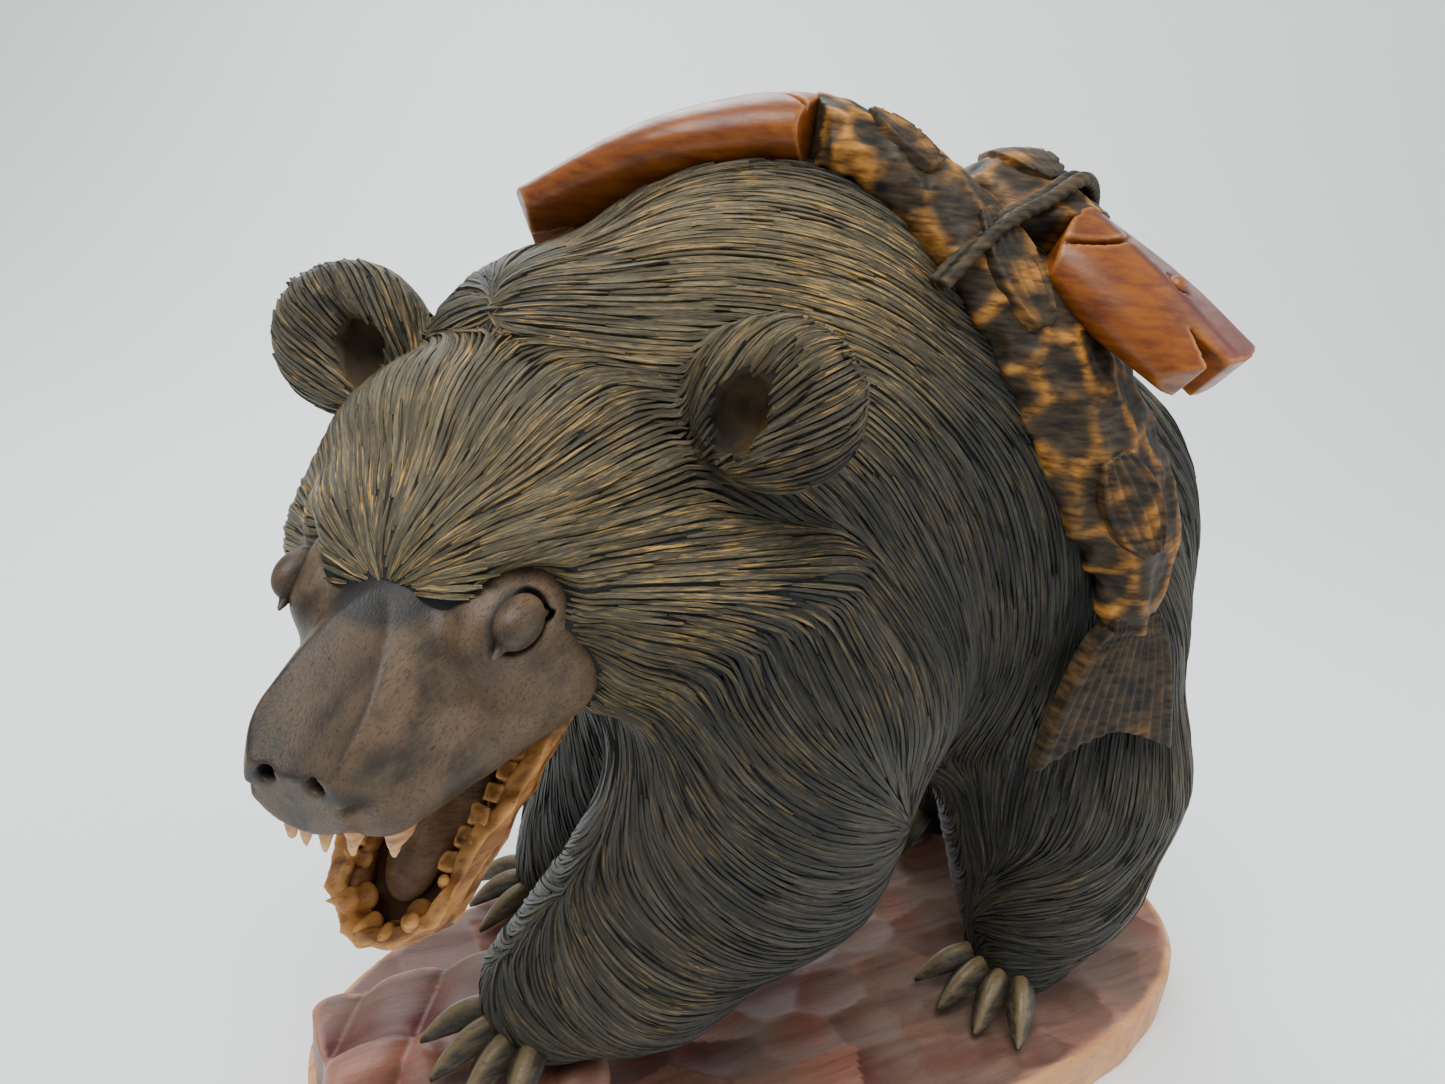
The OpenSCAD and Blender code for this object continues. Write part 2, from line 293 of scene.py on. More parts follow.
def face_shape(q):
    """Muzzle and brow: a tapered core with cheeks, then the planes and creases that are cut into it."""
    core = limb(q * (1, 1.08, 1), (-12, 0, -9), (30, 0, -22.5), 19, 16.5)
    sides = []
    for side in (-1, 1):
        sides.append(limb(q, (-14, side * 19, -25), (28, side * 8.5, -31.5), 15, 10))
        sides.append(blob(q, (-8, side * 17.5, -8), (22, 12.5, 13.5)))
    body = melt(core, melt_all(sides, 9), 4)
    body = melt(body, blob(q, (34, 0, -26), (14, 13.5, 11.5)), 2)
    body = carve(body, -top_plane(q), 0.35)
    for side in (-1, 1):
        stops = [(42, side * 18.0, -19), (34, side * 22, -12), (25, side * 25, -4), (14, side * 27, 4)]
        body = carve(body, chain(q, stops, (4.6, 7.4, 6.4, 4), 2), 2.5)
        body = carve(body, eye_recess(q, side), 2.0)
        gap = np.maximum(eye_shape(q, side) - 1.1, EYE_AT[1] - 1.6 - side * q[:, 1])
        body = carve(body, gap, 0.3)
        body = carve(body, limb(q, (15, side * 31, -15), (-12, side * 41, -25), 3.2, 6), 1.5)
    body = carve(body, 42.5 - (q[:, 0] * 0.985 - (q[:, 2] + 25) * 0.17), 0.3)
    body = carve(body, limb(q, (-20, 0, -55), (33, 0, -49.5), 21, 9), 1.0)
    for side in (-1, 1):
        body = carve(body, limb(q, (47, side * 4.6, -22), (38, side * 6, -23.5), 2.4, 1.3), 0.5)
        nostril = [(46, side * 4.5, -25.5), (44, side * 9, -28), (39, side * 13.5, -26.5)]
        body = carve(body, chain(q, nostril, (1.5, 1.3, 0.7), 0.5), 0.6)
        for at in (26, 18, 10, 2):
            body = carve(body, limb(q, (at + 6, side * 21.5, -37), (at, side * 26.5, -35), 1.3, 0.3), 0.4)
    return body


def face_field(points):
    return face_shape(in_head(points))


# ---------------------------------------------------------------------------
# Meshing a field
# ---------------------------------------------------------------------------
def sample(field, low, high, voxel):
    """The field on a grid, worked out only in blocks near its surface."""
    block = 8
    low = np.asarray(low, float)
    counts = np.ceil((np.asarray(high, float) - low) / voxel / block).astype(int)
    corners = np.stack(np.meshgrid(*[np.arange(n) for n in counts], indexing="ij"), -1).reshape(-1, 3)
    middle = field(low + (corners + 0.5) * block * voxel)
    far = 10 * voxel
    grid = np.where(middle.reshape(counts) > 0, far, -far)
    for axis in range(3):
        grid = np.repeat(grid, block, axis=axis)
    near = corners[np.abs(middle) < block * voxel * 1.2 + 4]
    inside = np.stack(np.meshgrid(*[np.arange(block)] * 3, indexing="ij"), -1).reshape(-1, 3)
    for start in range(0, len(near), 300):
        cells = (near[start:start + 300, None, :] * block + inside).reshape(-1, 3)
        grid[tuple(cells.T)] = field(low + cells * voxel)
    return np.clip(grid, -far, far).astype(np.float32)


def field_mesh(field, low, high, voxel):
    grid = openvdb.FloatGrid(10 * voxel)
    grid.copyFromArray(sample(field, low, high, voxel))
    points, quads = grid.convertToQuads(0.0)
    return points * voxel + np.asarray(low, float), quads


def make_mesh(name, points, face_sets, smooth=True):
    """A mesh from points and arrays of faces; each array holds faces of one size."""
    mesh = bpy.data.meshes.new(name)
    mesh.vertices.add(len(points))
    mesh.vertices.foreach_set("co", (np.asarray(points) * MM).astype(np.float32).ravel())
    corners = np.concatenate([np.asarray(faces, np.int32).ravel() for faces in face_sets])
    sizes = np.concatenate([np.full(len(faces), faces.shape[1], np.int32) for faces in face_sets])
    mesh.loops.add(len(corners))
    mesh.loops.foreach_set("vertex_index", corners)
    mesh.polygons.add(len(sizes))
    mesh.polygons.foreach_set("loop_start", np.concatenate([[0], np.cumsum(sizes)[:-1]]).astype(np.int32))
    mesh.update(calc_edges=True)
    mesh.polygons.foreach_set("use_smooth", np.broadcast_to(smooth, len(sizes)).copy())
    mesh.validate()
    return mesh


def add_numbers(mesh, name, values):
    """A per-vertex number or vector that a material reads by name."""
    values = np.asarray(values, np.float32)
    kind = "FLOAT" if values.ndim == 1 else "FLOAT_VECTOR"
    layer = mesh.attributes.new(name, kind, "POINT")
    layer.data.foreach_set("value" if kind == "FLOAT" else "vector", values.ravel())


def make_piece(name, mesh, material, slot, *nodes):
    piece = bpy.data.objects.new(name, mesh)
    bpy.context.scene.collection.objects.link(piece)
    mesh.materials.append(material)
    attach(piece, BODY)
    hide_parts(*nodes)


def corner_normals(points, quads):
    a, b, c, d = (points[quads[:, k]] for k in range(4))
    normals = unit(np.cross(c - a, d - b))
    total = np.zeros_like(points)
    for corner in range(4):
        np.add.at(total, quads[:, corner], normals)
    return unit(total)


# ---------------------------------------------------------------------------
# Paths and sizes of the fish, and the wood that they cover
# ---------------------------------------------------------------------------
def smooth_path(stops, shares):
    """Points on a Catmull-Rom curve through the stops; shares run from 0 to 1."""
    stops = np.asarray(stops, float)
    if stops.ndim == 1:
        stops = stops[:, None]
    padded = np.vstack([2 * stops[0] - stops[1], stops, 2 * stops[-1] - stops[-2]])
    place = np.clip(shares, 0, 1) * (len(stops) - 1)
    index = np.minimum(place.astype(int), len(stops) - 2)
    t = (place - index)[:, None]
    p0, p1, p2, p3 = (padded[index + k] for k in range(4))
    return 0.5 * (2 * p1 + (p2 - p0) * t + (2 * p0 - 5 * p1 + 4 * p2 - p3) * t**2
                  + (3 * p1 - p0 - 3 * p2 + p3) * t**3)


def outward(points):
    """The way that a fish's back faces: away from the bear's spine."""
    away = np.stack([np.zeros(len(points)), points[:, 1] * 1.15, np.maximum(points[:, 2] - SPINE_Z, 0)], 1)
    return unit(away)


def side_and_out(line):
    """Two directions square to a line: across it, and away from the bear's spine."""
    along = unit(np.gradient(line, axis=0))
    side = unit(np.cross(outward(line), along))
    return side, unit(np.cross(along, side))


def fish_sizes(shares):
    """Half the depth and half the thickness of a fish at shares of its length."""
    half = FISH_HALF * smooth_path(FISH_DEPTHS, shares)[:, 0]
    thick = FISH_THICK * smooth_path(FISH_THICKS, shares)[:, 0]
    return half, thick


def fish_cover(points):
    """Distance to a row of balls that fills both fish."""
    nearest = np.full(len(points), 1e9)
    shares = np.linspace(0, 1, 24)
    half, thick = fish_sizes(shares)
    for path in (FRONT_PATH, REAR_PATH):
        line = smooth_path(path, shares)
        side, out = side_and_out(line)
        middle = line - out * thick[:, None]
        for share in (-0.45, 0.0, 0.45):
            for at, radius in zip(middle + side * (half * share)[:, None], half * 0.56):
                nearest = np.minimum(nearest, np.linalg.norm(points - at, axis=1) - radius)
    return nearest


# ---------------------------------------------------------------------------
# Fur: long knife cuts laid side by side along the lie of the hair
# ---------------------------------------------------------------------------
# Each entry: where, the way the hair lies there, and how far that reaches
LIE = [
    ((-60, -30, 262), (1.0, -0.45, 0.05), 34),
    ((-20, -45, 250), (1.0, -0.35, -0.25), 34),
    ((-60, 40, 250), (0.8, 0.6, -0.2), 34),
    ((-10, -60, 215), (0.65, -0.1, -0.85), 30),
    ((10, -62, 180), (0.25, -0.05, -1.0), 34),
    ((-5, -60, 145), (-0.15, 0.0, -1.0), 20),
    ((30, -58, 130), (-0.05, 0.0, -1.0), 28),
    ((-95, -10, 170), (-0.1, -0.5, -1.0), 34),
    ((-100, 20, 210), (0.2, 0.6, -0.7), 32),
    ((0, 58, 180), (0.3, 0.1, -1.0), 40),
    ((-50, 55, 190), (0.4, 0.1, -0.9), 34),
    ((60, 0, 250), (1.0, 0.0, -0.15), 36),
    ((90, -40, 215), (0.8, -0.3, -0.7), 34),
    ((90, 40, 215), (0.8, 0.3, -0.7), 34),
    ((130, 0, 190), (0.5, 0.0, -1.0), 34),
    ((120, -30, 150), (0.2, 0.0, -1.0), 34),
    ((120, 30, 150), (0.2, 0.0, -1.0), 34),
    ((20, 0, 95), (1.0, 0.0, 0.1), 34),
    ((-62, -70, 112), (0.8, 0.0, -0.6), 30),
    ((-32, -72, 102), (1.0, 0.0, 0.05), 28),
    ((0, -60, 95), (0.55, 0.0, 0.8), 18),
    ((-90, -55, 85), (0.75, 0.0, -0.7), 26),
    ((-60, -60, 70), (1.0, 0.0, 0.1), 24),
    ((-90, -45, 55), (0.9, -0.1, -0.3), 16),
    ((-50, 60, 110), (0.6, 0.0, -0.8), 26),
    ((-55, 65, 60), (0.7, 0.0, -0.7), 24),
    ((75, -65, 120), (-0.1, 0.0, -1.0), 26),
    ((110, -55, 100), (0.1, 0.0, -1.0), 22),
    ((95, -70, 75), (-0.4, 0.0, -1.0), 18),
    ((60, -70, 70), (-1.0, 0.0, -0.5), 20),
    ((60, -62, 50), (-1.0, 0.0, -0.2), 14),
    ((100, 65, 110), (0.1, 0.0, -1.0), 30),
    ((105, 60, 55), (-0.5, 0.0, -0.9), 24),
]
BROW = HEAD_AT + HEAD_TURNED @ np.array((14, 0, 2))


def hair_lie(points, fields):
    """The way the hair lies at each point, before it is laid along the surface."""
    total = np.zeros_like(points)
    for place, way, reach in LIE:
        weight = np.exp(-(np.linalg.norm(points - np.array(place, float), axis=1) / reach) ** 2)
        total += weight[:, None] * unit(way)
    q = in_head(points)
    fan = unit(points - BROW)
    droop = np.clip((-6 - q[:, 2]) / 30, 0, 1) * np.clip((-q[:, 0] - 12) / 30, 0, 1)
    fan = unit(fan + droop[:, None] * np.array((0.15, -0.15, -0.9)))
    other = np.min([f for name, f in fields.items() if name != "head"], axis=0)
    on_head = np.clip(0.5 + (other - fields["head"]) / 8, 0, 1)[:, None]
    total = unit(total) * (1 - on_head) + fan * on_head
    for side in (-1, 1):
        ear = f"{'left' if side == 1 else 'right'}_ear"
        root = HEAD_AT + HEAD_TURNED @ (np.array(EAR_AT[side]) + (8, side * -30, -26))
        on_ear = np.clip(0.5 - fields[ear] / 3 + 0.5, 0, 1)[:, None]
        total = total * (1 - on_ear) + unit(points - root) * on_ear
    return unit(total)


def lay_along(ways, normals):
    return unit(ways - normals * np.sum(ways * normals, axis=1, keepdims=True))


class Skin:
    """The whole bear's surface, with the lie of the hair on every face."""

    def __init__(self, voxel):
        points, quads = field_mesh(bear_field, SKIN_LOW, SKIN_HIGH, voxel)
        self.points = points
        self.middle = points[quads].mean(axis=1)
        self.normal = unit(corner_normals(points, quads)[quads].mean(axis=1))
        fields = fur_fields(self.middle)
        self.names = list(fields)
        self.owner = np.argmin([fields[name] for name in self.names], axis=0)
        self.way = lay_along(hair_lie(self.middle, fields), self.normal)
        covered = np.minimum(fish_cover(self.middle), face_field(self.middle) - 0.5)
        floor = self.middle[:, 2] < BASE_H + 1.5
        self.shut = (covered < 0) | floor | (both_bowls(self.middle) < 0.8)
        self.tree = BVHTree.FromPolygons(points.tolist(), quads.tolist())

    def drop(self, place):
        """The nearest point on the skin, and its face."""
        found = self.tree.find_nearest(place)
        return found[0], found[2]


class Marks:
    """Cells of space round the cuts already made: wide ones bar new cuts, narrow ones stop running cuts."""

    def __init__(self, low, high, cell, seed_reach, line_reach):
        self.low = np.asarray(low, float)
        self.cell = cell
        counts = np.ceil((np.asarray(high) - low) / cell).astype(int) + 8
        self.wide, self.narrow = np.zeros(counts, bool), np.zeros(counts, bool)
        self.wide_ball, self.narrow_ball = self.ball(seed_reach), self.ball(line_reach)

    def ball(self, radius):
        reach = int(radius / self.cell) + 1
        steps = np.stack(np.meshgrid(*[np.arange(-reach, reach + 1)] * 3, indexing="ij"), -1).reshape(-1, 3)
        return steps[np.linalg.norm(steps * self.cell, axis=1) <= radius]

    def index(self, place):
        return tuple(int((place[k] - self.low[k]) / self.cell + 4) for k in range(3))

    def take(self, line):
        cells = ((np.asarray(line) - self.low) / self.cell + 4).astype(int)[:, None, :]
        for taken, ball in ((self.wide, self.wide_ball), (self.narrow, self.narrow_ball)):
            taken[tuple((cells + ball).reshape(-1, 3).T)] = True


def run_cut(skin, marks, seed, face, sign, reach):
    """Follow the hair from a seed until the cut meets another, an edge or its length."""
    line = []
    place, way = Vector(seed), Vector(skin.way[face]) * sign
    normal = Vector(skin.normal[face])
    travelled = 0.0
    while travelled < reach:
        goal = place + way * RIDGE_STEP
        spot, next_face = skin.drop(goal)
        if spot is None or skin.shut[next_face] or marks.narrow[marks.index(spot)]:
            break
        next_normal = Vector(skin.normal[next_face])
        if next_normal.dot(normal) < SHARP_TURN:
            line.append((goal, normal))
            break
        place, normal = spot, next_normal
        way = Vector(skin.way[next_face]) * sign
        line.append((place, normal))
        travelled += RIDGE_STEP
    return line


def comb(skin, gap):
    """Evenly spaced cuts over the whole skin, as (points, normals, owner); new ones start beside old ones."""
    low, high = skin.points.min(axis=0) - 4, skin.points.max(axis=0) + 4
    marks = Marks(low, high, MARK_CELL, gap * START_CLEAR, gap * RUN_CLEAR)
    order = rng.permutation(len(skin.middle))
    cuts = []
    queue = []
    lengths = rng.uniform(*CUT_LENGTHS, 40000)
    for start in order:
        queue.append((Vector(skin.middle[start]), int(start)))
        while queue:
            seed, face = queue.pop()
            if skin.shut[face] or marks.wide[marks.index(seed)]:
                continue
            reach = lengths[len(cuts) % len(lengths)]
            if skin.names[skin.owner[face]].endswith("ear"):
                reach *= 0.5
            ahead = run_cut(skin, marks, seed, face, 1, reach * 0.6)
            behind = run_cut(skin, marks, seed, face, -1, reach * 0.4)
            normal = Vector(skin.normal[face])
            line = behind[::-1] + [(seed, normal)] + ahead
            if len(line) < 3:
                continue
            points = np.array([p for p, _ in line])
            normals = np.array([n for _, n in line])
            cuts.append((points, normals, int(skin.owner[face])))
            marks.take(points)
            for k in range(0, len(line), 3):
                place, up = line[k]
                along = line[min(k + 1, len(line) - 1)][0] - line[max(k - 1, 0)][0]
                side = along.cross(up)
                if side.length < 1e-6:
                    continue
                side.normalize()
                for sign in (-1, 1):
                    spot, next_face = skin.drop(place + side * (sign * gap))
                    if spot is not None and not marks.wide[marks.index(spot)]:
                        queue.append((spot, next_face))
    return cuts


def ridge_mesh(cuts, overhang):
    """One closed, tapered ridge per cut: its points, quads and the numbers for the wood's colour."""
    all_points, all_faces, all_crests, all_grains = [], [], [], []
    across = np.array((-1.0, -0.66, 0.66, 1.0))
    feet = np.array((-0.5, 0.0, 0.0, -0.5))
    offset = 0
    for points, normals, _ in cuts:
        count = len(points)
        along = unit(np.gradient(points, axis=0))
        points = points.copy()
        points[0] -= along[0]
        points[-1] += along[-1] * overhang
        side = unit(np.cross(along, normals))
        share = np.linspace(0, 1, count)
        width = RIDGE_GAP * rng.uniform(0.96, 1.2) * np.interp(share, (0, 0.12, 0.8, 1), (0.5, 1, 1, 0.4)) / 2
        height = RIDGE_HEIGHT * rng.uniform(0.7, 1.3)
        height = height * np.interp(share, (0, 0.2, 0.9, 1), (0.35, 0.9, 1.2, 0.95))
        lean = rng.uniform(-0.3, 0.3)
        reach = width[:, None] * across
        lift = height[:, None] * np.array((0, 1 + lean, 1 - lean, 0)) + RIDGE_HEIGHT * feet
        block = points[:, None] + side[:, None] * reach[..., None] + normals[:, None] * lift[..., None]
        all_points.append(block.reshape(-1, 3))
        length = np.concatenate([[0], np.cumsum(np.linalg.norm(np.diff(points, axis=0), axis=1))])
        chance = rng.uniform(0, 100)
        all_crests.append(np.tile((0.0, 1.0, 1.0, 0.0), count))
        grain = [np.tile(across, count) + chance * 3.0, np.repeat(length, 4), np.full(4 * count, chance)]
        all_grains.append(np.stack(grain, 1))
        row = offset + np.arange(count - 1)[:, None] * 4
        for k in range(4):
            following = (k + 1) % 4
            all_faces.append(np.hstack([row + k, row + 4 + k, row + 4 + following, row + following]))
        last = offset + (count - 1) * 4
        all_faces.append(offset + np.array([[0, 1, 2, 3]]))
        all_faces.append(last + np.array([[3, 2, 1, 0]]))
        offset += 4 * count
    return np.vstack(all_points), np.vstack(all_faces), np.concatenate(all_crests), np.vstack(all_grains)


# ---------------------------------------------------------------------------
# Materials
# ---------------------------------------------------------------------------
class Finish:
    """A node material, built one node at a time."""

    def __init__(self, name):
        self.material = bpy.data.materials.new(name)
        self.material.use_nodes = True
        self.nodes = self.material.node_tree.nodes
        self.links = self.material.node_tree.links
        self.shader = self.nodes["Principled BSDF"]
        self.place = self.nodes.new("ShaderNodeTexCoord").outputs["Object"]

    def put(self, socket, value):
        if isinstance(value, bpy.types.NodeSocket):
            self.links.new(value, socket)
        else:
            socket.default_value = value

    def add(self, kind, settings):
        """A new node of one kind, with its input sockets set or linked."""
        node = self.nodes.new(kind)
        for socket, value in settings.items():
            self.put(node.inputs[socket], value)
        return node

    def carried(self, name):
        """The outputs of a node that reads numbers which the shape carries."""
        node = self.nodes.new("ShaderNodeAttribute")
        node.attribute_name = name
        return node.outputs

    def number(self, name):
        return self.carried(name)["Fac"]

    def vector(self, name):
        return self.carried(name)["Vector"]

    def noise(self, vector, scale, detail, rough=0.55):
        settings = {"Vector": vector, "Scale": scale, "Detail": detail, "Roughness": rough}
        return self.add("ShaderNodeTexNoise", settings).outputs["Fac"]

    def streaks(self, vector, factors, detail, rough=0.55):
        """Noise drawn out by different factors along the vector's three axes."""
        scaled = self.add("ShaderNodeVectorMath", {0: vector, 1: factors})
        scaled.operation = "MULTIPLY"
        return self.noise(scaled.outputs[0], 1.0, detail, rough)

    def product(self, a, b):
        node = self.add("ShaderNodeMath", {0: a, 1: b})
        node.operation = "MULTIPLY"
        return node.outputs[0]

    def between(self, value, low, high, to_low=0.0, to_high=1.0):
        settings = {"Value": value, "From Min": low, "From Max": high, "To Min": to_low, "To Max": to_high}
        return self.add("ShaderNodeMapRange", settings).outputs["Result"]

    def mix(self, share, a, b):
        node = self.nodes.new("ShaderNodeMix")
        node.data_type = "RGBA"
        self.put(node.inputs[0], share)
        for socket, value in ((node.inputs[6], a), (node.inputs[7], b)):
            self.put(socket, value if isinstance(value, bpy.types.NodeSocket) else (*value, 1.0))
        return node.outputs[2]

    def tint(self, colour, value, low, high, share, shade):
        """Up to a share of the shade over the colour, as the value goes from low to high."""
        return self.mix(self.between(value, low, high, 0.0, share), colour, shade)

    def bump(self, height, strength, depth, below=None):
        node = self.add("ShaderNodeBump", {"Height": height, "Strength": strength, "Distance": depth})
        if below is not None:
            self.put(node.inputs["Normal"], below)
        return node.outputs["Normal"]

    def done(self, colour, rough, normal=None, shine=0.5):
        self.put(self.shader.inputs["Base Color"], colour)
        self.put(self.shader.inputs["Roughness"], rough)
        self.put(self.shader.inputs["Specular IOR Level"], shine)
        if normal is not None:
            self.put(self.shader.inputs["Normal"], normal)
        return self.material


def carved_fur():
    """Stained ridges with near-black cuts between them and gold where the stain is thin."""
    f = Finish("carved_fur")
    crest, tone, cut = f.number("crest"), f.number("tone"), f.vector("cut")
    stroke = f.streaks(cut, (0.5, 0.03, 7.0), 1.0)
    streak = f.streaks(cut, (1.6, 0.10, 5.0), 3.0, 0.65)
    fibre = f.streaks(cut, (7.0, 0.30, 3.0), 3.0, 0.7)
    patch = f.noise(f.place, 38.0, 3.0)
    bright = f.mix(tone, (0.058, 0.054, 0.040), (0.310, 0.244, 0.125))
    middle = f.mix(tone, (0.013, 0.0135, 0.011), (0.100, 0.079, 0.040))
    dark = f.mix(tone, (0.005, 0.006, 0.0065), (0.030, 0.024, 0.014))
    ridge = f.mix(f.between(fibre, 0.34, 0.60), dark, middle)
    lit = f.product(f.between(stroke, 0.46, 0.62), f.between(fibre, 0.40, 0.66))
    ridge = f.mix(lit, ridge, bright)
    gilt = f.product(f.between(streak, 0.55, 0.64), f.between(patch, 0.36, 0.56))
    gilt = f.product(gilt, f.between(tone, 0.05, 0.75, 0.15, 0.9))
    ridge = f.mix(gilt, ridge, (0.56, 0.32, 0.075))
    colour = f.mix(f.between(crest, 0.10, 0.95), (0.008, 0.009, 0.010), ridge)
    bowl = f.mix(f.between(patch, 0.35, 0.6), (0.024, 0.015, 0.008), (0.105, 0.062, 0.024))
    colour = f.mix(f.number("bare"), colour, bowl)
    rough = f.between(fibre, 0.3, 0.7, 0.34, 0.58)
    normal = f.bump(fibre, 0.8, 0.0004)
    return f.done(colour, rough, normal, 0.36)


def smooth_walnut():
    """The face: dark, oiled and finely pored, browner on the planes, with painted shade in the hollows and
    creases, at the brow and round the eyes, and a painted highlight on the edges.
    """
    f = Finish("smooth_walnut")
    bend, painted_shade_and_tone, at = f.number("bend"), f.number("painted_shade_and_tone"), f.vector("grain")
    grain = f.streaks(at, (60.0, 230.0, 170.0), 5.0, 0.65)
    cloud = f.noise(f.place, 74.0, 4.0)
    hair = f.streaks(at, (500.0, 2600.0, 1500.0), 2.0, 0.7)
    pores = f.streaks(at, (300.0, 1500.0, 1500.0), 2.0)
    colour = f.mix(f.between(cloud, 0.36, 0.62), (0.030, 0.022, 0.014), (0.118, 0.072, 0.040))
    colour = f.tint(colour, grain, 0.42, 0.66, 0.55, (0.135, 0.092, 0.055))
    colour = f.tint(colour, hair, 0.52, 0.68, 0.7, (0.030, 0.022, 0.016))
    colour = f.tint(colour, pores, 0.62, 0.74, 0.8, (0.012, 0.009, 0.007))
    # Painted shade on the face along its creases, at the brow and round the eyes; on the eyes this number
    # only darkens their tone.
    colour = f.tint(colour, painted_shade_and_tone, 0.10, 0.95, 0.88, (0.012, 0.012, 0.013))
    # Painted shade darkens the hollows; a painted highlight lightens the edges.
    colour = f.tint(colour, bend, -0.03, -0.25, 0.8, (0.014, 0.010, 0.008))
    colour = f.tint(colour, bend, 0.24, 0.60, 0.45, (0.20, 0.125, 0.070))
    normal = f.bump(hair, 0.45, 0.0003, f.bump(grain, 0.3, 0.0005))
    return f.done(colour, f.between(cloud, 0.3, 0.7, 0.38, 0.54), normal, 0.25)


def cut_wood(name, dark, middle, light, rough=(0.42, 0.62), shine=0.4):
    """Bare or thinly stained wood with grain, painted shade in the hollows and pale edges, partly worn and
    partly painted highlight.
    """
    f = Finish(name)
    bend = f.number("bend")
    grain = f.streaks(f.place, (60.0, 200.0, 420.0), 4.0, 0.6)
    cloud = f.noise(f.place, 95.0, 4.0)
    fleck = f.streaks(f.place, (300.0, 1300.0, 1300.0), 2.0)
    colour = f.mix(f.between(cloud, 0.3, 0.7), dark, middle)
    colour = f.tint(colour, grain, 0.42, 0.72, 0.6, light)
    # Painted shade darkens the hollows; pale edges, partly worn and partly painted highlight.
    colour = f.tint(colour, bend, -0.03, -0.25, 0.85, dark)
    colour = f.tint(colour, bend, 0.08, 0.30, 0.75, light)
    colour = f.tint(colour, fleck, 0.6, 0.75, 0.6, dark)
    # Painted shade deep inside the jaw trough.
    colour = f.tint(colour, f.number("painted_shade_and_tone"), 0.0, 1.0, 0.8, dark)
    normal = f.bump(fleck, 0.5, 0.0003, f.bump(grain, 0.5, 0.0007))
    return f.done(colour, f.between(cloud, 0.3, 0.7, *rough), normal, shine)


def stained_base():
    """Red-brown and dark-red gouged facets, with the sides left pale."""
    f = Finish("stained_base")
    bend, raw, cell = f.number("bend"), f.number("raw"), f.number("cell")
    grain = f.streaks(f.place, (18.0, 260.0, 90.0), 5.0, 0.62)
    cloud = f.noise(f.place, 26.0, 3.0)
    pores = f.streaks(f.place, (260.0, 1800.0, 900.0), 2.0)
    red = f.mix(f.between(cell, 0.25, 0.75), (0.095, 0.017, 0.012), (0.300, 0.112, 0.070))
    colour = f.mix(f.between(cloud, 0.38, 0.64), red, (0.165, 0.103, 0.072))
    colour = f.tint(colour, grain, 0.46, 0.72, 0.55, (0.055, 0.020, 0.018))
    # Paler edges: partly worn stain and partly painted highlight.
    colour = f.tint(colour, bend, 0.06, 0.24, 0.6, (0.46, 0.21, 0.14))
    pale = f.mix(f.between(grain, 0.35, 0.7), (0.66, 0.33, 0.135), (0.42, 0.165, 0.055))
    colour = f.mix(raw, colour, pale)
    colour = f.tint(colour, pores, 0.62, 0.76, 0.6, (0.05, 0.02, 0.015))
    normal = f.bump(pores, 0.35, 0.0002, f.bump(grain, 0.35, 0.0005))
    return f.done(colour, f.between(cloud, 0.3, 0.7, 0.38, 0.58), normal, 0.35)


def scorched_fish():
    """Grey-brown chip cuts outlined in worn orange."""
    f = Finish("scorched_fish")
    bend, edge = f.number("bend"), f.number("edge")
    grain = f.streaks(f.place, (140.0, 140.0, 600.0), 3.0)
    cloud = f.noise(f.place, 60.0, 3.0)
    char = f.mix(f.between(grain, 0.35, 0.7), (0.010, 0.008, 0.006), (0.062, 0.040, 0.020))
    amber = f.mix(f.between(grain, 0.35, 0.65), (0.090, 0.038, 0.009), (0.48, 0.205, 0.034))
    share = f.product(edge, f.between(cloud, 0.36, 0.56, 0.05, 1.0))
    colour = f.mix(share, char, amber)
    # Painted shade: darker in the hollows.
    colour = f.tint(colour, bend, -0.05, -0.3, 0.8, (0.014, 0.012, 0.010))
    normal = f.bump(grain, 0.4, 0.0004)
    return f.done(colour, f.between(cloud, 0.3, 0.7, 0.46, 0.66), normal, 0.2)


def lacquered_red():
    """The fish heads: glossy dark red fading to orange where the wood is cut thin."""
    f = Finish("lacquered_red")
    bend, edge = f.number("bend"), f.number("edge")
    grain = f.streaks(f.place, (110.0, 110.0, 420.0), 4.0, 0.6)
    cloud = f.noise(f.place, 34.0, 2.0)
    red = f.mix(f.between(cloud, 0.35, 0.65), (0.045, 0.007, 0.004), (0.120, 0.017, 0.007))
    orange = f.mix(f.between(grain, 0.35, 0.68), (0.235, 0.068, 0.010), (0.105, 0.024, 0.005))
    colour = f.mix(edge, red, orange)
    # Painted shade darkens the hollows; paler orange edges are partly worn lacquer and partly painted
    # highlight.
    colour = f.tint(colour, bend, -0.04, -0.25, 0.85, (0.050, 0.018, 0.009))
    colour = f.tint(colour, bend, 0.10, 0.34, 0.5, (0.62, 0.24, 0.06))
    return f.done(colour, f.between(grain, 0.3, 0.7, 0.26, 0.42), f.bump(grain, 0.3, 0.0004), 0.3)


# ---------------------------------------------------------------------------
# Shared ways to turn a field into a carved piece
# ---------------------------------------------------------------------------
def ripple(points, size, seed):
    """Smooth unevenness between about -1 and 1, with bumps of one size."""
    made = np.random.default_rng(seed)
    total = np.zeros(len(points))
    for _ in range(7):
        way = unit(made.normal(size=3)) * 2 * math.pi / (size * made.uniform(0.7, 1.5))
        total += np.sin(points @ way + made.uniform(0, 6.28))
    return total / 3.2


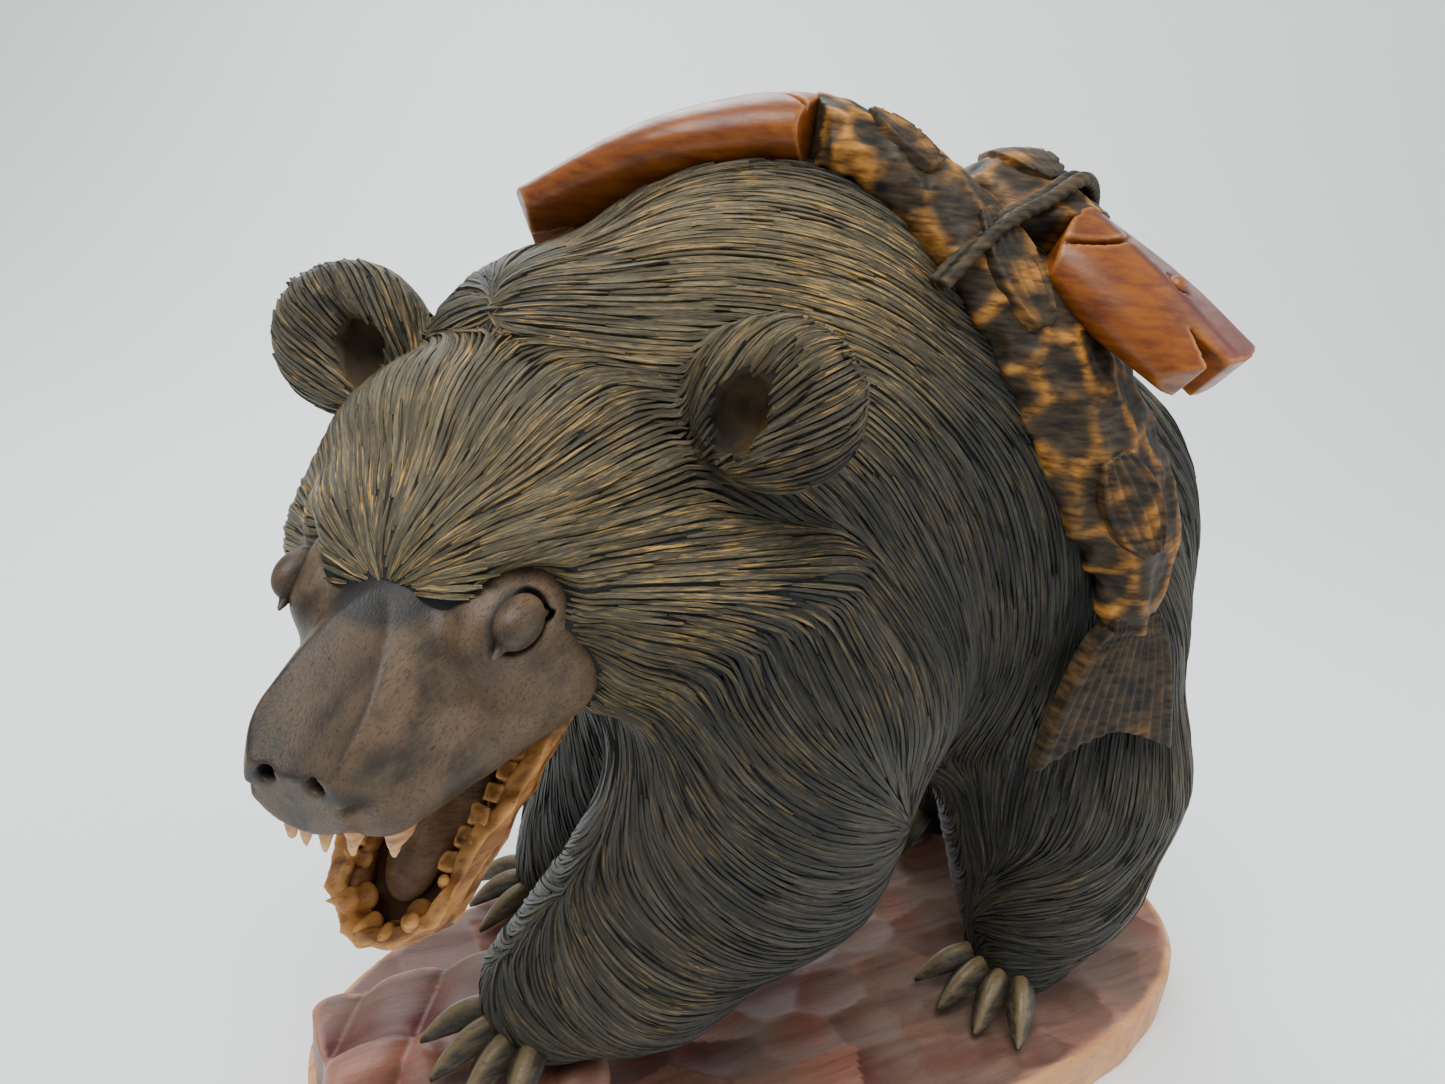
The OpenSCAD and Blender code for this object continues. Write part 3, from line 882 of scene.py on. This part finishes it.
def curvature(points, quads):
    """Above 0 on edges and below 0 in hollows, averaged over a few neighbours."""
    normals = corner_normals(points, quads)
    count = np.zeros(len(points))
    near = np.zeros_like(points)
    for corner in range(4):
        for step in (1, 3):
            np.add.at(near, quads[:, corner], points[quads[:, (corner + step) % 4]])
            np.add.at(count, quads[:, corner], 1)
    spacing = np.linalg.norm(points[quads[:, 0]] - points[quads[:, 1]], axis=1).mean()
    bend = np.sum((points - near / count[:, None]) * normals, axis=1) / spacing * 2.5
    for _ in range(3):
        total = np.zeros(len(points))
        for corner in range(4):
            np.add.at(total, quads[:, corner], bend[quads].mean(axis=1))
        bend = total / np.maximum(count / 2, 1)
    return bend


def add_carving(name, node, wood, slot, field, low, high, voxel, place=None, numbers=()):
    """A piece meshed from a field and put in its place, with its curvature and any more numbers."""
    points, quads = field_mesh(field, low, high, voxel)
    bend = curvature(points, quads)
    extra = {key: work(points) for key, work in dict(numbers).items()}
    mesh = make_mesh(name, points if place is None else place(points), [quads])
    add_numbers(mesh, "bend", bend)
    for key, values in extra.items():
        add_numbers(mesh, key, values)
    make_piece(name, mesh, wood, slot, node)


def from_head(q):
    return HEAD_AT + q @ HEAD_TURNED.T


def from_jaw(q):
    return JAW_AT + q @ JAW_TURNED.T


def box(q, middle, half, soft):
    """Distance to a box with rounded edges."""
    away = np.abs(q - np.asarray(middle, float)) - (np.asarray(half, float) - soft)
    return np.linalg.norm(np.maximum(away, 0), axis=1) + np.minimum(away.max(axis=1), 0) - soft


# ---------------------------------------------------------------------------
# Fur pieces
# ---------------------------------------------------------------------------
def fur_tone_and_shadow(points, node):
    """1 where the stain is worn to olive and gold, 0 where it is blue-black; darker towards the bottom, and
    with painted shadow next to the fish.
    """
    q = in_head(points)
    reach = (75, 85, 60) if node in ("head", "left_ear", "right_ear") else (44, 50, 60)
    head = np.clip(1.25 - np.linalg.norm((q - (-30, 0, 0)) / reach, axis=1), 0, 1)
    shin = 0.5 * np.clip(1.3 - np.linalg.norm((points - (-94, -46, 96)) / (30, 40, 44), axis=1), 0, 1)
    hump = np.clip(1.35 - np.linalg.norm((points - (-50, -20, 256)) / (56, 54, 50), axis=1), 0, 1)
    rump = np.clip(1.2 - np.linalg.norm((points - (104, -50, 90)) / (40, 44, 54), axis=1), 0, 1)
    tone = np.maximum.reduce([head, shin, hump, 0.65 * rump])
    # Painted shadow: the fur darkens within about 16 mm of the fish.
    shade = np.clip((fish_cover(points) - 2) / 14, 0, 1)
    low = 0.55 + 0.45 * np.clip((points[:, 2] - 100) / 60, 0, 1)
    return np.clip(0.06 + 0.90 * tone, 0, 1) * (0.3 + 0.7 * shade) * low + 0.08 * ripple(points, 40, 3)


def add_fur(material):
    """One piece per node: the skin below and its ridges on it."""
    skin = Skin(SKIN_VOXEL)
    cuts = comb(skin, RIDGE_GAP)
    for index, node in enumerate(skin.names):
        low, high = node_reach(skin, index)
        points, quads = field_mesh(lambda p: node_field(p, node), low, high, SKIN_VOXEL)
        overhang = EAR_TIP_OVERHANG if node.endswith("ear") else TIP_OVERHANG
        ridges, faces, crest, cut = ridge_mesh([c for c in cuts if c[2] == index], overhang)
        both = np.vstack([points, ridges])
        smooth = np.repeat((True, False), (len(quads), len(faces)))
        mesh = make_mesh(f"fur_{node}", both, [quads, faces + len(points)], smooth)
        add_numbers(mesh, "crest", np.concatenate([np.zeros(len(points)), crest]))
        add_numbers(mesh, "cut", np.vstack([points, cut]))
        add_numbers(mesh, "tone", fur_tone_and_shadow(both, node))
        hollow = np.clip(1.4 - both_bowls(points), 0, 1)
        add_numbers(mesh, "bare", np.concatenate([hollow, np.zeros(len(ridges))]))
        make_piece(f"fur_{node}", mesh, material, "fur", node)


def node_reach(skin, index):
    own = skin.middle[skin.owner == index]
    return own.min(axis=0) - 24, own.max(axis=0) + 24


# ---------------------------------------------------------------------------
# Face, eyes and mouth
# ---------------------------------------------------------------------------
def jaw_half(x):
    return JAW_REAR_W + (JAW_FRONT_W - JAW_REAR_W) * np.clip(x / JAW_L, 0, 1)


def jaw_shape(q):
    half = jaw_half(q[:, 0])
    front = np.maximum(q[:, 0] - (JAW_L - JAW_FRONT_W), 0)
    across = np.hypot(np.abs(q[:, 1]), front * half / JAW_FRONT_W) - half
    keel = -13.5 + 7 * np.clip(1 - q[:, 0] / 22, 0, 1) + 0.006 * q[:, 1] ** 2
    rim = 1.8 + 1.4 * np.abs(ripple(q, 15, 5))
    across = across + 0.24 * (-q[:, 2]) + 1.5 * np.abs(ripple(q, 11, 6)) - 0.8
    outer = np.maximum.reduce([across, q[:, 2] - rim, keel - q[:, 2], 2 - q[:, 0]])
    inner = np.maximum(across + 4.6 + 0.5 * ripple(q, 7, 8), -7.5 - q[:, 2])
    return carve(outer, inner, 1.6)


def tongue_shape(q):
    body = melt(blob(q, (24, 0, -6.5), (17, 11, 3.4)), blob(q, (41, 0, -5.2), (10, 6.6, 2.9)), 4)
    return carve(body, limb(q, (14, 0, -1.6), (44, 0, -1.4), 1.2, 0.7), 1.5)


def lower_teeth_shape(q):
    teeth = []
    for side in (-1, 1):
        for x in np.arange(13, 42, 5.4):
            middle = (x, side * (jaw_half(x) - 5.6), -2.0)
            teeth.append(box(q, middle, (2.3, 2.3, 4.0), 0.5))
        teeth.append(limb(q, (JAW_L - 8, side * 7.5, -2), (JAW_L - 6, side * 9.6, 7.5), 3.6, 0.6))
        teeth.append(limb(q, (JAW_L - 4.4, side * 2.5, -2), (JAW_L - 1.5, side * 3.2, 4.6), 2.4, 0.5))
        teeth.append(limb(q, (44.5, side * 11, -2), (44.5, side * 12, 4), 2.2, 0.5))
    return np.min(teeth, axis=0) + 0.45 * ripple(q, 5, 9)


def upper_teeth_shape(q):
    teeth = []
    for side in (-1, 1):
        teeth.append(limb(q, (28, side * 11.5, -36), (30, side * 10.8, -46.5), 5.2, 0.6))
        teeth.append(limb(q, (35.5, side * 6.8, -35), (37, side * 7, -41.8), 2.8, 0.7))
        teeth.append(limb(q, (37.5, side * 2.0, -35), (39, side * 2.2, -41), 2.2, 0.6))
    return np.min(teeth, axis=0) + 0.25 * ripple(q, 4, 10)


def face_painted_shade(q):
    """1 where shade is painted: along the creases, beside the nostrils and the bridge, at the brow and round
    the eyes; 0.5 over the flat top plane.
    """
    painted_shade_and_tone = 1 - blob(q, (10, 0, 4), (13, 11, 8)) / 5
    for side in (-1, 1):
        stops = [(41, side * 14, -21), (33, side * 17.5, -15), (24, side * 21, -9)]
        painted_shade_and_tone = np.maximum(painted_shade_and_tone, 1 - chain(q, stops, (0.5, 0.8, 0.3), 1) / 3.2)
        painted_shade_and_tone = np.maximum(painted_shade_and_tone, 1.2 - np.maximum(eye_shape(q, side), 0) / 1.7)
        painted_shade_and_tone = np.maximum(painted_shade_and_tone, 0.8 - limb(q, (44, side * 4.8, -22), (40, side * 14, -27), 1.5, 1.0) / 3.0)
        painted_shade_and_tone = np.maximum(painted_shade_and_tone, 0.85 - limb(q, (20, side * 9.5, 0), (43, side * 9, -18), 0.6, 0.4) / 2.6)
    on_top = np.clip(1.4 + top_plane(q), 0, 1)
    return np.clip(np.maximum(painted_shade_and_tone, 0.50 * on_top), 0, 1)


def jaw_painted_shade(q):
    """Painted shade: 1 deep inside the trough of the jaw."""
    return np.clip((-1.5 - q[:, 2]) / 5, 0, 1) * (np.abs(q[:, 1]) < jaw_half(q[:, 0]) - 3)


def lid_soot(q):
    return 0.25 + 0.2 * ripple(q, 6, 17)


def wood_grain(q):
    """Where the point is along the head, so that the grain turns with it."""
    return q * MM


def add_mouth(walnut, raw, lip, tongue_wood):
    add_carving("face", "muzzle", walnut, "muzzle", face_shape, (-30, -40, -64), (50, 40, 18),
                FINE_VOXEL, from_head, {"grain": wood_grain, "painted_shade_and_tone": face_painted_shade})
    for side, node in ((1, "left_eye"), (-1, "right_eye")):
        low = EYE_AT * (1, side, 1) - (15, 8, 8)
        add_carving(f"carved_{node}", node, walnut, "muzzle", lambda q: eye_shape(q, side), low,
                    low + (26, 16, 16), EYE_VOXEL, from_head, {"grain": wood_grain, "painted_shade_and_tone": lid_soot})
    add_carving("jaw_trough", "lower_jaw", raw, "raw_wood", jaw_shape, (-2, -32, -18), (66, 32, 8),
                FINE_VOXEL, from_jaw, {"painted_shade_and_tone": jaw_painted_shade})
    add_carving("low_teeth", "lower_teeth", raw, "raw_wood", lower_teeth_shape, (6, -28, -8), (64, 28, 12),
                TOOTH_VOXEL, from_jaw)
    add_carving("high_teeth", "upper_teeth", lip, "raw_wood", upper_teeth_shape, (6, -24, -58), (46, 24, -34),
                TOOTH_VOXEL, from_head)
    add_carving("carved_tongue", "tongue", tongue_wood, "tongue", tongue_shape, (2, -16, -14), (56, 16, 2),
                FINE_VOXEL, from_jaw)


# ---------------------------------------------------------------------------
# Salmon: modelled lying straight, then laid along their paths over the back
# ---------------------------------------------------------------------------
class FishLine:
    """The path of a fish, with its frame and sizes for each millimetre along it."""

    def __init__(self, path):
        shares = np.linspace(0, 1, 500)
        line = smooth_path(path, shares)
        steps = np.concatenate([[0], np.cumsum(np.linalg.norm(np.diff(line, axis=0), axis=1))])
        self.length = steps[-1]
        self.at = np.arange(-10.0, self.length + 46.0)
        inside = np.clip(self.at, 0, self.length)
        spots = np.stack([np.interp(inside, steps, line[:, k]) for k in range(3)], 1)
        head_way = unit(line[0] - line[6])
        tail_way = unit(line[-1] - line[-20])
        spots += np.maximum(-self.at, 0)[:, None] * head_way
        spots += np.maximum(self.at - self.length, 0)[:, None] * tail_way
        self.side, self.out = side_and_out(spots)
        self.half, self.thick = fish_sizes(np.interp(inside, steps, shares))
        self.core = spots - self.out * self.thick[:, None]

    def look(self, table, s):
        return np.stack([np.interp(s, self.at, table[:, k]) for k in range(3)], 1)

    def bend(self, q):
        s = q[:, 0]
        return (self.look(self.core, s) + self.look(self.side, s) * q[:, 1:2]
                + self.look(self.out, s) * q[:, 2:3])

    def sizes(self, s):
        return np.interp(s, self.at, self.half), np.interp(s, self.at, self.thick)


def chips(q, size, seed):
    """Chip cuts over a surface: 0 in the middle of a cut, 1 on the ridge between two."""
    made = np.random.default_rng(seed)
    columns = np.arange(0, 320, size)
    spots = []
    for k, x in enumerate(columns):
        rows = np.arange(-30, 31, size * 0.82) + (k % 2) * size * 0.41
        spots.append(np.stack([np.full(len(rows), x), rows], 1))
    spots = np.vstack(spots)
    spots = spots + made.uniform(-0.22, 0.22, spots.shape) * size
    first = np.full(len(q), 1e9)
    second = np.full(len(q), 1e9)
    for start in range(0, len(q), CHUNK):
        part = q[start:start + CHUNK, :2]
        gaps = np.sqrt(((part[:, None, :] - spots[None]) ** 2 * (0.75, 1.0)).sum(axis=2))
        nearest = np.partition(gaps, 1, axis=1)
        first[start:start + CHUNK] = nearest[:, 0]
        second[start:start + CHUNK] = nearest[:, 1]
    return np.clip(1 - (second - first) / (size * 0.75), 0, 1)


def back_plane(line, q, back_side):
    """Above 0 outside the flat plane that is cut along the fish's back."""
    half, thick = line.sizes(q[:, 0])
    reach = back_side * q[:, 1] / half * 0.60 + q[:, 2] / thick * 0.80 - 0.80
    return reach * np.minimum(half, thick)


def fish_flank(line, q, back_side):
    """The plain body: round at the belly, with a flat plane cut along the back."""
    half, thick = line.sizes(q[:, 0])
    near = np.sqrt((q[:, 1] / half) ** 2 + (q[:, 2] / thick) ** 2) + 1e-6
    body = (near - 1) * np.minimum(half, thick)
    return -melt(-body, -back_plane(line, q, back_side), 0.8)


def fish_head_shape(line, q, back_side, gill):
    body = fish_flank(line, q, back_side)
    body = np.maximum(body, q[:, 0] - gill - 3 + 0.02 * q[:, 1] ** 2)
    belly = q[:, 1] * -back_side
    snout = -5 + 0.016 * (belly + 6) ** 2
    body = np.maximum(body, snout - q[:, 0])
    mouth = belly - 6.6 + 0.06 * q[:, 0]
    wedge = np.abs(mouth) - 0.24 * (10 - q[:, 0])
    body = carve(body, np.maximum(wedge, q[:, 0] - 9.5), 0.6)
    _, thick = line.sizes(q[:, 0])
    eye_at = (21, back_side * 4.5, 0)
    up = np.array((0, 0, 1))
    socket = blob(q - np.outer(thick * 0.86, up), eye_at, (4.3, 4.3, 2.2))
    eye = blob(q - np.outer(thick * 0.8, up), eye_at, (2.8, 2.8, 2.0))
    body = melt(carve(body, socket, 0.5), eye, 0.3)
    groove = np.abs(q[:, 0] - gill + 10 - 0.03 * q[:, 1] ** 2) - 0.8
    return carve(body, np.maximum(groove, thick * 0.55 - q[:, 2]), 0.9)


def fish_body_shape(line, q, back_side, gill, seed):
    body = fish_flank(line, q, back_side) + 0.8
    body = body - 1.3 * chips(q, CHIP_SIZE, seed) + 0.3 * ripple(q, 6, seed)
    body = np.maximum(body, gill - q[:, 0] + 0.02 * q[:, 1] ** 2)
    return np.maximum(body, q[:, 0] - line.length - 1)


def tail_reach(line, s):
    share = np.clip((s - line.length) / 40, 0, 1.05)
    return 9 + 18 * share**0.6


def fish_tail_shape(line, q):
    s = q[:, 0] - line.length
    reach = tail_reach(line, q[:, 0])
    fan = q[:, 1] / reach
    rays = 0.45 * np.cos(fan * 34)
    plate = np.maximum(np.abs(q[:, 1]) - reach, np.abs(q[:, 2] - 0.8) - (3.6 - 0.035 * s + rays))
    return np.maximum.reduce([plate, -4 - s, s - 31 - 9 * np.abs(fan) ** 1.6])


def fin_shape(line, q, fin):
    """A leaf-shaped fin lying on the flank, with cut rays."""
    at, across, side, reach, spread, lie = fin
    _, thick = line.sizes(np.full(1, at))
    along = q[:, 0] - at
    down = (q[:, 1] - across) * side
    lie_x, lie_y = math.cos(math.radians(lie)), math.sin(math.radians(lie))
    u = along * lie_x + down * lie_y
    v = -along * lie_y + down * lie_x
    share = np.clip(u / reach, 0, 1)
    width = spread * np.sin(math.pi * (0.12 + 0.80 * share)) ** 0.9 + 0.8
    rays = 0.45 * np.cos(v / width * 13)
    level = thick[0] * np.sqrt(np.clip(1 - (q[:, 1] / 24) ** 2, 0.1, 1)) - 0.2
    plate = np.maximum(np.abs(v) - width, np.abs(q[:, 2] - level) - (1.7 + rays))
    return np.maximum.reduce([plate, -u, u - reach])


def add_fish(name, path, back_side, gill, fins, body_wood, head_wood, seed):
    line = FishLine(path)
    tail = line.length

    def head_shape(q):
        return fish_head_shape(line, q, back_side, gill)

    def body_shape(q):
        return fish_body_shape(line, q, back_side, gill, seed)

    def tail_shape(q):
        return fish_tail_shape(line, q)

    def fins_shape(q):
        return np.min([fin_shape(line, q, fin) for fin in fins], axis=0)

    # Each part: its field, its corners, its voxel, and how much its edges show the worn colour
    parts = {
        "head": (head_shape, (-9, -26, -14), (gill + 6, 26, 16), FINE_VOXEL,
                 lambda q: np.clip(-0.3 - 1.2 * back_plane(line, q, back_side), 0, 1)),
        "body": (body_shape, (gill - 4, -26, -14), (tail + 4, 26, 16), WOOD_VOXEL,
                 lambda q: np.clip(chips(q, CHIP_SIZE, seed) * 3.0 - 1.95, 0, 1)),
        "tail": (tail_shape, (tail - 6, -29, -6), (tail + 43, 29, 8), FINE_VOXEL,
                 lambda q: np.clip(0.18 * ripple(q, 14, seed) - 0.06, 0, 0.2)),
        "fins": (fins_shape, (50, -32, -6), (tail, 32, 18), FINE_VOXEL,
                 lambda q: np.clip(0.25 + 0.6 * ripple(q, 9, seed), 0, 1)),
    }
    for part, (shape, low, high, voxel, edge) in parts.items():
        wood, slot = (head_wood, "fish_head") if part == "head" else (body_wood, "fish_body")
        add_carving(f"{name}_{part}_carving", f"{name}_{part}", wood, slot, shape, low, high,
                    voxel, line.bend, {"edge": edge})


# ---------------------------------------------------------------------------
# Rope, claws, base and ledge
# ---------------------------------------------------------------------------
def loft(rings):
    """A closed tube through rings of points, with a point in the middle of each end."""
    count, sides = rings.shape[:2]
    row = np.arange(count - 1)[:, None] * sides
    k = np.arange(sides)
    following = (k + 1) % sides
    quads = np.stack([row + k, row + following, row + sides + following, row + sides + k], -1).reshape(-1, 4)
    first = count * sides
    start = np.stack([np.full(sides, first), following, k], 1)
    last_row = first - sides
    end = np.stack([np.full(sides, first + 1), last_row + k, last_row + following], 1)
    points = np.vstack([rings.reshape(-1, 3), rings[0].mean(axis=0), rings[-1].mean(axis=0)])
    return points, quads, np.vstack([start, end])


def join(parts):
    """Several lofts as one set of points, quads and triangles."""
    offset = 0
    all_points, all_quads, all_triangles = [], [], []
    for points, quads, triangles in parts:
        all_points.append(points)
        all_quads.append(quads + offset)
        all_triangles.append(triangles + offset)
        offset += len(points)
    return np.vstack(all_points), [np.vstack(all_quads), np.vstack(all_triangles)]


def strand(path, offset):
    """One strand of rope: three yarns twisted round each other."""
    line = smooth_path(path, np.linspace(0, 1, ROPE_RINGS)) + offset
    side, up = side_and_out(line)
    travelled = np.cumsum(np.concatenate([[0], np.linalg.norm(np.diff(line, axis=0), axis=1)]))
    turned = travelled / ROPE_LAY * 2 * math.pi
    angles = np.linspace(0, 2 * math.pi, ROPE_SIDES, endpoint=False)
    lobes = ROPE_R * (0.84 + 0.2 * np.abs(np.cos(1.5 * (angles[None] - turned[:, None]))))
    across = side[:, None] * (np.cos(angles) * lobes)[..., None]
    return loft(line[:, None] + across + up[:, None] * (np.sin(angles) * lobes)[..., None])


def add_rope(material):
    points, faces = join([strand(ROPE_PATH, (0, shift, -1.6)) for shift in (-ROPE_R, ROPE_R)])
    mesh = make_mesh("carved_rope", points, faces)
    add_numbers(mesh, "bend", np.zeros(len(points)))
    make_piece("carved_rope", mesh, material, "rope", "rope")


def claw(root, tip):
    """A leaf-shaped blade with a ridge down its middle."""
    along = unit(tip - root)
    side = unit(np.cross((0, 0, 1), along))
    up = np.cross(along, side)
    angles = np.linspace(0, 2 * math.pi, CLAW_SIDES, endpoint=False)
    rings = []
    for share in np.linspace(0, 1, CLAW_RINGS):
        wide = CLAW_HALF_W * math.sin(math.pi * (0.16 + 0.80 * share)) ** 0.8
        tall = wide * 0.62
        middle = root + (tip - root) * share + up * (CLAW_ARCH * math.sin(math.pi * share))
        keel = 1 + 0.55 * np.maximum(np.sin(angles), 0) ** 6
        gouge = 1 - 0.22 * np.exp(-((np.sin(angles) - 0.55) / 0.22) ** 2)
        rings.append(middle + np.outer(np.cos(angles) * gouge, side * wide)
                     + np.outer(np.sin(angles) * keel * gouge, up * tall))
    return loft(np.array(rings))


def add_claws(node, paw, heading, floor, material):
    """Four claws that fan out from a paw and come down to the floor it stands on."""
    parts = []
    for k in range(4):
        turned = math.radians(heading + (k - 1.5) * CLAW_SPREAD)
        way = np.array((math.cos(turned), math.sin(turned), 0))
        root = paw + way * 9
        tip = root + way * CLAW_L
        root[2] = floor + 13
        tip[2] = floor + 2.8
        parts.append(claw(root, tip))
    points, faces = join(parts)
    mesh = make_mesh(f"carved_{node}", points, faces)
    height = np.sin(np.linspace(0, 2 * math.pi, CLAW_SIDES, endpoint=False))
    # Painted highlight along the top of each keel and painted shade in the gouge beside it, passed to the
    # material as bend.
    worn = 0.42 * np.maximum(height, 0) ** 8 - 0.22 * np.exp(-((height - 0.35) / 0.25) ** 2)
    add_numbers(mesh, "bend", np.tile(np.concatenate([np.tile(worn, CLAW_RINGS), (0, 0)]), len(parts)))
    make_piece(f"carved_{node}", mesh, material, "claws", node)


def gouge_cells(points):
    """Which shallow gouge of the base a point is in: its depth and its own number."""
    made = np.random.default_rng(12)
    columns, rows = np.arange(-160, 161, 24), np.arange(-84, 85, 15)
    spots = np.stack(np.meshgrid(columns, rows, indexing="ij"), -1).reshape(-1, 2)
    spots = spots + made.uniform(-6, 6, spots.shape)
    numbers = made.uniform(0, 1, len(spots))
    depth = np.zeros(len(points))
    own = np.zeros(len(points))
    for start in range(0, len(points), CHUNK):
        part = points[start:start + CHUNK, :2]
        gaps = (((part[:, None, :] - spots[None]) / (15.5, 10.0)) ** 2).sum(axis=2)
        pick = gaps.argmin(axis=1)
        depth[start:start + CHUNK] = np.clip(1 - gaps[np.arange(len(part)), pick], 0, 1)
        own[start:start + CHUNK] = numbers[pick]
    return depth, own


def rim_share(points):
    """1 on the rim of the base, which is narrower on the far side and rounder at the head end."""
    power = np.where(points[:, 0] < 0, 2.22, 2.78)
    half = np.where(points[:, 1] < 0, BASE_W / 2, BASE_FAR)
    long_way = (np.abs(points[:, 0]) / (BASE_L / 2)) ** power
    return (long_way + (np.abs(points[:, 1]) / half) ** power) ** (1 / power)


def base_field(points):
    share = rim_share(points)
    out = (share - 1) * np.linalg.norm(points[:, :2], axis=1) / np.maximum(share, 0.2)
    depth, _ = gouge_cells(points)
    top = points[:, 2] - BASE_H + 1.9 * depth
    slope = (out + 4.5) * 0.75 + (points[:, 2] - BASE_H) * 0.66
    side = out + 0.8 + 0.55 * ripple(points * (1, 1, 0.25), 26, 4)
    return np.maximum.reduce([top, side, slope, 0.02 - points[:, 2]])


def raw_side(points):
    """1 on the unstained side of the base."""
    return np.clip((rim_share(points) - 0.965) / 0.012, 0, 1)


def ledge_field(points):
    body = np.maximum.reduce([
        box(points, (-118, -20, 30), (36, 30, 14), 5),
        points[:, 2] - LEDGE_H - 0.10 * (points[:, 0] + 110),
    ])
    body = melt(body, box(points, (-140, -21, 31), (15, 7, 13), 4), 5)
    flute = np.abs(np.sin((points[:, 0] * 0.85 - points[:, 1] * 0.5) / 6.5))
    body = body + 2.4 * (1 - flute) ** 1.5 - 0.5 + 0.3 * ripple(points, 16, 11)
    return np.maximum(body, BASE_H - 3 - points[:, 2])


def add_base(material):
    low = (-BASE_L / 2 - 4, -BASE_W / 2 - 4, -3)
    high = (BASE_L / 2 + 4, BASE_W / 2 + 4, BASE_H + 4)
    numbers = {"raw": raw_side, "cell": lambda p: gouge_cells(p)[1]}
    add_carving("gouged_base", "base", material, "stained_base", base_field, low, high,
                BASE_VOXEL, None, numbers)
    numbers["raw"] = lambda p: np.zeros(len(p))
    add_carving("fluted_ledge", "rock_ledge", material, "stained_base", ledge_field, (-162, -56, 16),
                (-74, 18, 50), WOOD_VOXEL, None, numbers)


# ---------------------------------------------------------------------------
# Room, light and camera
# ---------------------------------------------------------------------------
def add_room():
    """A sheet of paper under the bear that curves up behind it, as the camera sees it."""
    profile = [(-0.9, 0.0), (0.55, 0.0)]
    for angle in range(5, 91, 5):
        a = math.radians(angle)
        profile.append((0.55 + 0.5 * math.sin(a), 0.5 - 0.5 * math.cos(a)))
    profile.append((1.05, 2.2))
    azimuth = math.radians(CAMERA_AZIMUTH)
    away = np.array((-math.sin(azimuth), math.cos(azimuth), 0))
    side = np.array((away[1], -away[0], 0))
    points = []
    for reach, height in profile:
        for across in (-2.4, 2.4):
            points.append(away * reach + side * across + (0, 0, height))
    rows = np.arange(len(profile) - 1)[:, None] * 2
    faces = np.hstack([rows, rows + 1, rows + 3, rows + 2])
    mesh = make_mesh("paper_sweep", np.array(points) / MM, [faces])
    mesh.materials.append(Finish("paper").done((0.86, 0.88, 0.88, 1.0), 0.9, None, 0.1))
    sweep = bpy.data.objects.new("paper_sweep", mesh)
    bpy.context.scene.collection.objects.link(sweep)


def add_light(name, at, size, power, colour=(1, 1, 1)):
    light = bpy.data.lights.new(name, "AREA")
    light.size = size
    light.energy = power
    light.color = colour
    holder = bpy.data.objects.new(name, light)
    holder.location = at
    holder.rotation_euler = (Vector((0, 0, 0.15)) - Vector(at)).to_track_quat("-Z", "Y").to_euler()
    bpy.context.scene.collection.objects.link(holder)


def add_world():
    world = bpy.data.worlds.new("soft_room")
    world.use_nodes = True
    back = world.node_tree.nodes["Background"]
    back.inputs["Color"].default_value = (0.80, 0.86, 0.88, 1)
    back.inputs["Strength"].default_value = 0.62
    bpy.context.scene.world = world


def add_camera():
    """The camera at its place, turned by azimuth, elevation and roll."""
    az, el, roll = (math.radians(a) for a in (CAMERA_AZIMUTH, CAMERA_ELEVATION, CAMERA_ROLL))
    back = Vector((math.sin(az) * math.cos(el), -math.cos(az) * math.cos(el), math.sin(el)))
    level = (-back).cross(Vector((0, 0, 1))).normalized()
    upright = level.cross(-back)
    right = level * math.cos(roll) + upright * math.sin(roll)
    up = upright * math.cos(roll) - level * math.sin(roll)
    data = bpy.data.cameras.new("camera")
    data.lens = CAMERA_LENS
    data.sensor_width = SENSOR_W
    data.clip_start = 0.01
    camera = bpy.data.objects.new("camera", data)
    camera.matrix_world = Matrix.Translation(CAMERA_AT) @ Matrix((right, up, back)).transposed().to_4x4()
    bpy.context.scene.collection.objects.link(camera)
    bpy.context.scene.camera = camera


# ---------------------------------------------------------------------------
# The scene
# ---------------------------------------------------------------------------
raw_wood = cut_wood("raw_wood", (0.060, 0.020, 0.006), (0.38, 0.140, 0.026), (0.64, 0.31, 0.085))
lip_wood = cut_wood("lip_wood", (0.16, 0.055, 0.018), (0.52, 0.22, 0.07), (0.74, 0.42, 0.19))
tongue_wood = cut_wood("tongue_wood", (0.08, 0.040, 0.020), (0.25, 0.13, 0.065), (0.36, 0.22, 0.12),
                       (0.25, 0.4))
claw_wood = cut_wood("claw_wood", (0.014, 0.012, 0.009), (0.050, 0.038, 0.022), (0.19, 0.135, 0.065),
                     (0.34, 0.5))
rope_wood = cut_wood("rope_wood", (0.010, 0.009, 0.007), (0.032, 0.026, 0.016), (0.15, 0.09, 0.035),
                     (0.5, 0.7), 0.2)
scorched = scorched_fish()
lacquer = lacquered_red()

add_camera()
add_fur(carved_fur())
add_mouth(smooth_walnut(), raw_wood, lip_wood, tongue_wood)
add_fish("front_salmon", FRONT_PATH, 1, FRONT_GILL, FRONT_FINS, scorched, lacquer, 21)
add_fish("rear_salmon", REAR_PATH, -1, REAR_GILL, REAR_FINS, scorched, lacquer, 22)
add_rope(rope_wood)
add_claws("left_fore_claws", np.array((-94.0, -30, 62)), 200, 43, claw_wood)
add_claws("right_fore_claws", np.array((-62.0, 45, 41)), 180, BASE_H, claw_wood)
add_claws("left_hind_claws", np.array((68.0, -42, 38)), 200, BASE_H, claw_wood)
add_claws("right_hind_claws", np.array((98.0, 42, 38)), 176, BASE_H, claw_wood)
add_base(stained_base())
add_room()
add_light("key", (-0.35, -0.25, 1.3), 0.8, 22)
add_light("fill", (0.9, -0.5, 0.8), 0.8, 5)
add_light("rim", (0.1, 0.9, 0.9), 0.7, 9, (0.9, 0.95, 1.0))
add_world()
